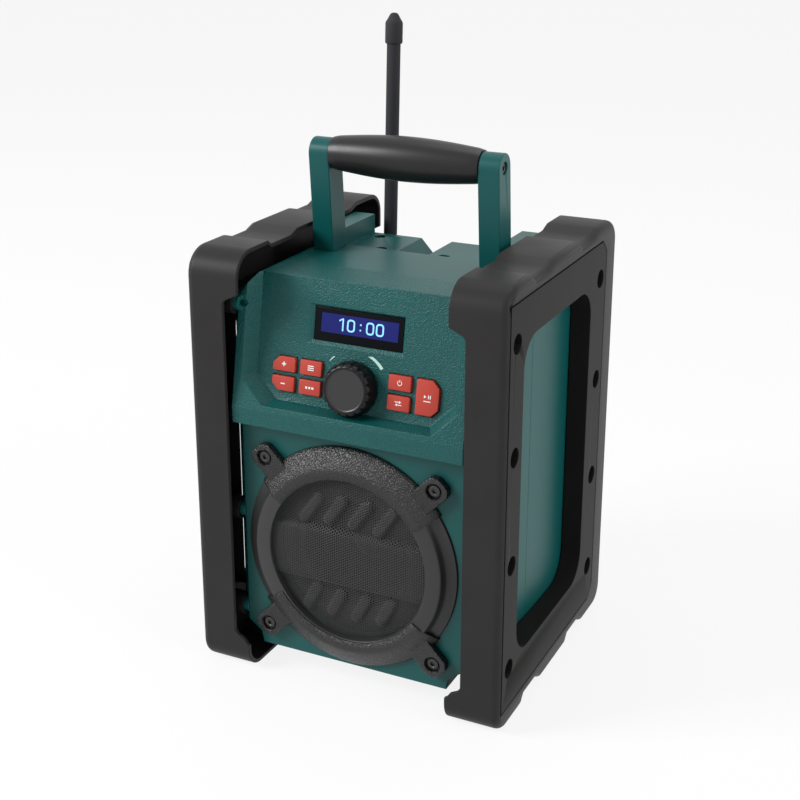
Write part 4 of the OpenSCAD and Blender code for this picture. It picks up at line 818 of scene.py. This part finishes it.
@dataclass
class Speaker:
    """The ring, the perforated grille and what shows behind it.

    Attributes:
        height: Height of the speaker's centre.
        baffle: How far the baffle lies in front of the radio's middle.
        opening: Radius of the opening.
        pitch: Spacing of the grille's holes.
        hole: Half a hole's width.
        lug_screw: How far a lug's screw lies from the centre.
    """

    height: float = 96.6
    baffle: float = 88.0
    opening: float = 56.7
    pitch: float = 1.84
    hole: float = 0.62
    lug_screw: float = 85.7

    @property
    def place(self) -> Matrix:
        """The speaker's frame: X right, Y up, Z out of the baffle."""
        return shift(0, -self.baffle, self.height) @ turn(90, "X")

    def build(self) -> None:
        """Adds the ring, the grille and the screws."""
        self.ring()
        self.grille()
        places = [self.place @ turn(a, "Z") @ shift(self.lug_screw, 0, 2.5) for a in (45, 135, 225, 315)]
        screws = SocketScrew(3.9, 2.0, 1.6).set_at(places)
        Piece("ring_screw_heads", screws, [SCREW], Part.RADIO, ["speaker_ring_screws"]).add()

    def ring(self) -> None:
        """Adds the smooth ring with its textured arcs and lugs."""
        r = self.opening
        smooth = Shape.turned([
            (r, 8.0), (r - 0.4, 7.6), (r - 0.5, 7.0), (r - 0.5, 3.8), (r + 2.2, 3.8), (r + 2.2, 0), (76.0, 0),
            (75.4, 1.3), (70.0, 2.9), (68.4, 4.4), (67.3, 7.0), (66.8, 7.7), (66.0, 8.0)], 144)
        arcs = [Shape.turned([
            (r + 0.5, 5.0), (r + 0.5, 8.6), (r + 0.9, 8.95), (63.0, 9.3), (64.6, 9.0), (75.4, 3.3),
            (76.7, 2.0), (77.5, 0), (60.7, 0), (60.7, 5.0)], 48, 112, a) for a in (34, 214)]
        for arc in arcs:
            arc.softened(0.35, 2, 60)
        lugs = [self.lug().moved(turn(a, "Z")) for a in (45, 135, 225, 315)]
        Piece("ring_smooth", smooth.moved(self.place), [RING_SMOOTH], Part.RADIO, ["speaker_ring"], 40).add()
        rough = arcs[0].joined([arcs[1], *lugs])
        Piece("ring_textured_arcs", rough.moved(self.place), [RING], Part.RADIO, (), 40).add()

    def lug(self) -> Shape:
        """Returns one lug along X, with its screw's recess."""
        end, half = 94.2, 8.5
        outline = [
            (64.0, -half), (end - 4, -half), (end, -half + 4), (end, half - 4), (end - 4, half), (64.0, half)]
        body = Shape.prism(rounded(outline, [0, 1.5, 1.5, 1.5, 1.5, 0], 3), 0, 5.5)
        body.softened(0.8, 3, 50, lambda e: all(v.co.z > 5.4 for v in e.verts))
        recess = Shape.turned([(0, 2.5), (5.2, 2.5), (5.3, 5.0), (5.7, 5.6), (5.7, 7), (0, 7)], 40)
        return body.cut([recess.moved(shift(self.lug_screw, 0, 0))])

    def rise(self, x: float, y: float) -> float:
        """Returns how far the grille stands out at a place: its middle band and its dimples.

        Args:
            x: Place to the right of the centre.
            y: Place above the centre.

        Returns:
            The height over the baffle, in millimetres.
        """
        z = 2.6
        up, low = 18.4, -19.8
        z += 2.6 * max(0.0, min(1.0, (y - low) / 1.2 + 0.5)) * max(0.0, min(1.0, (up - y) / 3.4 + 0.5))
        for cx, cy, dx, dy, depth in self.dimples():
            along = ((x - cx) * dx + (y - cy) * dy) / (dx * dx + dy * dy)
            t = max(-1.0, min(1.0, along))
            px, py = x - cx - t * dx, y - cy - t * dy
            gap = math.hypot(px, py)
            z += depth * max(0.0, 1.0 - (gap / 4.4) ** 3)
        return z

    def dimples(self) -> list[tuple[float, float, float, float, float]]:
        """Returns the dimples: centre, half length as a vector, and depth."""
        upper = [(x, 33.0 - 0.0022 * x * x, 5.2, 7.6, 2.4) for x in (-27.0, -9.0, 9.0, 27.0)]
        lower = [(x, -34.0 + 0.0022 * x * x, 3.6, 7.0, 2.0) for x in (-27.0, -9.0, 9.0, 27.0)]
        return upper + lower

    def grille(self) -> None:
        """Adds the perforated sheet: a six-sided cell with a hole, repeated in rows."""
        p = self.pitch
        cell = bmesh.new()
        bmesh.ops.create_circle(cell, cap_ends=True, segments=6, radius=p / math.sqrt(3.0))
        bmesh.ops.inset_region(
            cell, faces=cell.faces[:], thickness=p / 2 - self.hole, use_even_offset=True, use_boundary=True
        )
        inner = min(cell.faces, key=lambda f: f.calc_center_median().length)
        bmesh.ops.delete(cell, geom=[inner], context="FACES_ONLY")
        tile = bpy.data.meshes.new("cell")
        cell.to_mesh(tile)
        cell.free()
        shape = Shape()
        bm = shape.bm
        columns = int(self.opening / (p * math.sqrt(3) / 2)) + 1
        at = Vector((0.0, 0.0, 0.0))
        for column in range(-columns, columns + 1):
            x = column * p * math.sqrt(3) / 2
            for row in range(-columns - 2, columns + 3):
                y = (row + 0.5 * (column % 2)) * p
                if math.hypot(x, y) > self.opening + 0.4:
                    continue
                tile.transform(Matrix.Translation(Vector((x, y, 0.0)) - at))
                at = Vector((x, y, 0.0))
                bm.from_mesh(tile)
        bpy.data.meshes.remove(tile)
        bmesh.ops.remove_doubles(bm, verts=bm.verts, dist=0.02)
        for vert in bm.verts:
            vert.co.z = self.rise(vert.co.x, vert.co.y)
        if next(iter(bm.faces)).normal.z <= 0:
            bmesh.ops.reverse_faces(bm, faces=bm.faces)
        bm.normal_update()
        thing = Piece("grille_sheet", shape.moved(self.place), [GRILLE], Part.RADIO, ["speaker_grille"], 60).add()
        wall = thing.modifiers.new("sheet", "SOLIDIFY")
        wall.thickness, wall.offset = 0.5 * MM, -1.0
        rim = Shape.turned([
            (self.opening - 0.6, 3.7), (self.opening + 1.8, 3.7), (self.opening + 1.8, 0), (self.opening + 1.0, 0),
            (self.opening + 1.0, 2.9), (self.opening - 0.6, 2.9)], 96)
        Piece("grille_rim", rim.moved(self.place), [GRILLE], Part.RADIO, (), 40).add()


# ------------------------------------------------------------------ handle and antenna


@dataclass
class Handle:
    """The grip between the two posts.

    Attributes:
        clear: Width between the posts.
        lean: Forward lean, in degrees.
        rise: Height of the grip's axis over the top.
    """

    clear: float = 106.0
    lean: float = 4.8
    rise: float = 67.0

    @property
    def place(self) -> Matrix:
        """The handle's frame, at the foot of the posts."""
        return shift(0, 0.5, 276.5) @ turn(self.lean, "X")

    def build(self) -> None:
        """Adds the grip and the screws at its axis."""
        half, thick, slim = self.clear / 2, 14.7, 11.1
        points: list[Point] = [(4.0, -half)]
        count = 28
        for k in range(count + 1):
            t = -1 + 2 * k / count
            r = slim + (thick - slim) * math.cos(math.pi / 2 * t)
            edge = 0.0 if abs(t) < 0.97 else 0.5
            points.append((r - edge, t * half))
        points.append((4.0, half))
        grip = Shape.turned(points, 96).moved(self.place @ shift(0, 0, self.rise) @ turn(90, "Y"))
        Piece("grip_sleeve", grip, [GRIP], Part.RADIO, ["handle_grip"], 40).add()
        places = [
            self.place @ shift(side * 64.8, 0, self.rise) @ turn(90 * side, "Y") for side in (-1, 1)
        ]
        heads = SocketScrew(3.7, 2.0, 1.6).set_at(places)
        Piece("handle_screw_heads", heads, [SCREW], Part.RADIO, ["handle_screws"]).add()


@dataclass
class Antenna:
    """The rubber rod with its cap."""

    lean: float = 2.4
    length: float = 167.0
    radius: float = 4.8

    def build(self) -> None:
        """Adds the rod with its knuckle, and the cap."""
        place = shift(-49, 69, 260) @ turn(-self.lean, "X")
        r, top = self.radius, self.length - 21
        rod = Shape.turned([(0, 8), (4.1, 8), (4.2, 9), (r, 11.5), (r, top + 2), (0, top + 2)], 48)
        knuckle = Shape.from_node("antenna_rod")
        for vert in [v for v in knuckle.bm.verts if v.co.z > 269.3]:
            knuckle.bm.verts.remove(vert)
        bmesh.ops.holes_fill(knuckle.bm, edges=[e for e in knuckle.bm.edges if e.is_boundary], sides=0)
        whole = rod.moved(place).joined([knuckle.outward()])
        Piece("antenna_rubber_rod", whole, [AERIAL], Part.ANTENNA, ["antenna_rod"]).add()
        cap = Shape.turned([
            (0, 0), (5.4, 0), (5.9, 0.4), (6.1, 1.2), (6.1, 13.8), (5.7, 15.2), (4.8, 16.4), (3.2, 19.4),
            (2.4, 20.5), (1.2, 21.0), (0, 21.0)], 48).moved(place @ shift(0, 0, top))
        Piece("antenna_tip", cap, [AERIAL], Part.ANTENNA, ["antenna_cap"], 50).add()


# ------------------------------------------------------------------ bumpers, plates and shells


@dataclass
class Housing:
    """The large mouldings, which keep their CAD shape and get their finish and soft edges."""

    cup_rows: tuple[float, ...] = (42.0, 114.0, 186.0, 258.0)
    cup_front: float = -85.0
    cup_rear: float = 68.0

    def build(self) -> None:
        """Dresses the bumpers, the plates, the shells and the posts."""
        for side in ("left", "right"):
            self.dressed(f"{side}_bumper", BUMPER, 0.6, 20)
            self.dressed(f"{side}_side_plate", PLATE, 0.45, 30)
            self.dressed(f"{side}_handle_post", GREEN_SMOOTH, 0.8, 30)
        self.dressed("front_shell", GREEN, 0.45, 24)
        self.dressed("rear_shell", GREEN, 0.45, 24)
        self.dressed("battery_door", GREEN, 0.4, 30)
        for side, name in ((-1, "left"), (1, "right")):
            places = [
                shift(side * 101, y, z) @ turn(90 * side, "Y")
                for y in (self.cup_front, self.cup_rear) for z in self.cup_rows
            ]
            heads = SocketScrew(4.0, 2.6, 1.7).set_at(places)
            Piece(f"{name}_plate_screw_heads", heads, [SCREW], Part.RADIO, [f"{name}_plate_screws"]).add()

    def dressed(self, node: str, finish: Finish, rounding: float, sharp: float) -> None:
        """Adds a smooth, soft-edged copy of a CAD node in its place."""
        shape = Shape.from_node(node).flattened()
        body = frame["nodes"][node]["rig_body"]
        Piece(node + "_moulding", shape, [finish], body, [node], sharp, rounding).add()


class Inside:
    """Finishes for the CAD nodes that keep their own meshes."""

    FINISHES: dict[str, Finish] = {
        "shell_screws": SCREW, "handle_rod": STEEL, "handle_bracket": STEEL, "handle_post_screws": SCREW,
        "block_screws": SCREW, "speaker_gasket": FOAM, "speaker_basket": DARK, "speaker_surround": FOAM,
        "speaker_cone": PAPER, "speaker_dust_cap": DOME, "speaker_magnet": STEEL, "speaker_screws": SCREW,
        "display_module": DARK, "control_board": BOARD, "control_board_screws": SCREW,
        "keypad_mat": SILICONE, "encoder": STEEL, "encoder_shaft": STEEL, "encoder_nut": STEEL,
        "main_board": BOARD, "main_board_screws": SCREW, "power_inlet": DARK, "audio_jack": DARK,
        "antenna_base": DARK, "antenna_pin": STEEL, "battery_tray": DARK, "battery_cells": CELL,
        "battery_contacts": STEEL, "battery_door_pin": STEEL, "battery_door_screw": SCREW,
    }

    def build(self) -> None:
        """Gives each node its finish."""
        for name, finish in self.FINISHES.items():
            thing = frame["nodes"][name]
            for slot in thing.material_slots:
                slot.material = finish.material()
            if not thing.material_slots:
                thing.data.materials.append(finish.material())


# ------------------------------------------------------------------ stage


@dataclass
class Studio:
    """Floor, lamps and the camera at the photograph's angle.

    Attributes:
        eye: Where the camera stands, in millimetres.
        azimuth: Direction that it looks from, in degrees round the object.
        elevation: Height angle that it looks from, in degrees.
        roll: Turn about its own axis, in degrees.
        focal_px: Focal length in pixels of the 800-pixel frame.
        shift_px: How far the axis lies above the frame's centre.
        fill: Strength of the surroundings as light.
        floor_white: Share of plain white in what the camera sees of the floor.
    """

    eye: tuple[float, float, float] = (387.86, -816.35, 522.76)
    azimuth: float = 25.8471
    elevation: float = 18.1071
    roll: float = 0.0571
    focal_px: float = 1411.68
    shift_px: float = 72.0
    fill: float = 0.2
    floor_white: float = 0.86

    def camera(self) -> None:
        """Creates the camera."""
        a, e, r = (math.radians(v) for v in (self.azimuth, self.elevation, self.roll))
        back = Vector((math.sin(a) * math.cos(e), -math.cos(a) * math.cos(e), math.sin(e)))
        right = (-back).cross(Vector((0, 0, 1))).normalized()
        up = right.cross(-back)
        right, up = right * math.cos(r) + up * math.sin(r), up * math.cos(r) - right * math.sin(r)
        lens = bpy.data.cameras.new("photo_camera")
        lens.sensor_width, lens.lens = 36.0, 36.0 * self.focal_px / PHOTO_PX
        lens.shift_y = -self.shift_px / PHOTO_PX
        lens.clip_start, lens.clip_end = 0.01, 50.0
        thing = bpy.data.objects.new("photo_camera", lens)
        bpy.context.scene.collection.objects.link(thing)
        turned = Matrix((right, up, back)).transposed().to_4x4()
        thing.matrix_world = Matrix.Translation(Vector(self.eye) * MM) @ turned
        bpy.context.scene.camera = thing

    def floor(self) -> None:
        """Creates the pale floor that shows plain white to the camera."""
        bm = bmesh.new()
        bmesh.ops.create_grid(bm, x_segments=1, y_segments=1, size=6.0)
        mesh = bpy.data.meshes.new("floor")
        bm.to_mesh(mesh)
        bm.free()
        nodes = Nodes("pale_floor")
        place = nodes.place()
        grain = nodes.noise(60.0, 2.0, place)
        surface = nodes.add("BsdfPrincipled")
        surface.inputs["Roughness"].default_value = 0.35
        surface.inputs["Specular IOR Level"].default_value = 0.35
        nodes.put(surface.inputs["Base Color"], nodes.mix(grain, (0.9, 0.9, 0.9), (0.92, 0.92, 0.92)))
        white = nodes.add("Emission", Strength=1.0)
        seen = self.seen_ray(nodes.tree, nodes.add("LightPath"))
        mix = nodes.add("MixShader", i0=nodes.maths("MULTIPLY", seen, self.floor_white))
        nodes.tree.links.new(surface.outputs[0], mix.inputs[1])
        nodes.tree.links.new(white.outputs[0], mix.inputs[2])
        out = nodes.add("OutputMaterial")
        nodes.tree.links.new(mix.outputs[0], out.inputs["Surface"])
        mesh.materials.append(nodes.material)
        thing = bpy.data.objects.new("floor", mesh)
        bpy.context.scene.collection.objects.link(thing)

    def lamp(self, name: str, place: tuple[float, float, float], size: tuple[float, float], watts: float) -> None:
        """Adds a soft rectangular lamp aimed at the radio."""
        data = bpy.data.lights.new(name, "AREA")
        data.shape, data.size, data.size_y, data.energy = "RECTANGLE", size[0], size[1], watts
        thing = bpy.data.objects.new(name, data)
        thing.location = place
        thing.rotation_mode = "QUATERNION"
        thing.rotation_quaternion = (LAMP_AIM - Vector(place)).to_track_quat("-Z", "Y")
        bpy.context.scene.collection.objects.link(thing)

    def seen_ray(self, tree: bpy.types.NodeTree, path: bpy.types.Node) -> bpy.types.NodeSocket:
        """Adds a switch that is 1 on rays that show the background.

        Args:
            tree: The tree to add it to.
            path: That tree's Light Path node.

        Returns:
            The switch's socket: 1 on a camera, glossy or transmission ray.
        """
        found = path.outputs["Is Camera Ray"]
        for kind in ("Is Glossy Ray", "Is Transmission Ray"):
            either = tree.nodes.new("ShaderNodeMath")
            either.operation = "MAXIMUM"
            tree.links.new(found, either.inputs[0])
            tree.links.new(path.outputs[kind], either.inputs[1])
            found = either.outputs[0]
        return found

    def world(self) -> None:
        """Creates the surroundings: plain white to the camera and in reflections, dimmer as light."""
        world = bpy.data.worlds.new("studio")
        world.use_nodes = True
        bpy.context.scene.world = world
        tree = world.node_tree
        tree.nodes.clear()
        path = tree.nodes.new("ShaderNodeLightPath")
        seen = tree.nodes.new("ShaderNodeBackground")
        seen.inputs[0].default_value, seen.inputs[1].default_value = (1, 1, 1, 1), 1.0
        light = tree.nodes.new("ShaderNodeBackground")
        light.inputs[0].default_value, light.inputs[1].default_value = (1, 1, 1, 1), self.fill
        mix = tree.nodes.new("ShaderNodeMixShader")
        out = tree.nodes.new("ShaderNodeOutputWorld")
        links = tree.links
        links.new(self.seen_ray(tree, path), mix.inputs[0])
        links.new(light.outputs[0], mix.inputs[1])
        links.new(seen.outputs[0], mix.inputs[2])
        links.new(mix.outputs[0], out.inputs[0])

    def build(self) -> None:
        """Creates the floor, the lamps and the surroundings."""
        self.floor()
        self.world()
        self.lamp("key", (-1.75, -1.3, 1.45), (1.0, 1.1), 66)
        self.lamp("side", (1.9, -0.3, 0.9), (0.9, 1.6), 22)
        self.lamp("top", (0.1, 0.5, 2.2), (1.4, 1.4), 12)
        bpy.context.scene.view_settings.view_transform = "Standard"


def main() -> None:
    """Builds the scene: the camera, the pieces and the studio."""
    logging.basicConfig(level=logging.INFO, format="%(name)s %(message)s")
    studio = Studio()
    studio.camera()
    for assembly in (Housing(), ControlPanel(), Speaker(), Handle(), Antenna(), Inside()):
        assembly.build()
        LOG.info("%s done", type(assembly).__name__)
    studio.build()


if __name__ == "__main__":
    main()
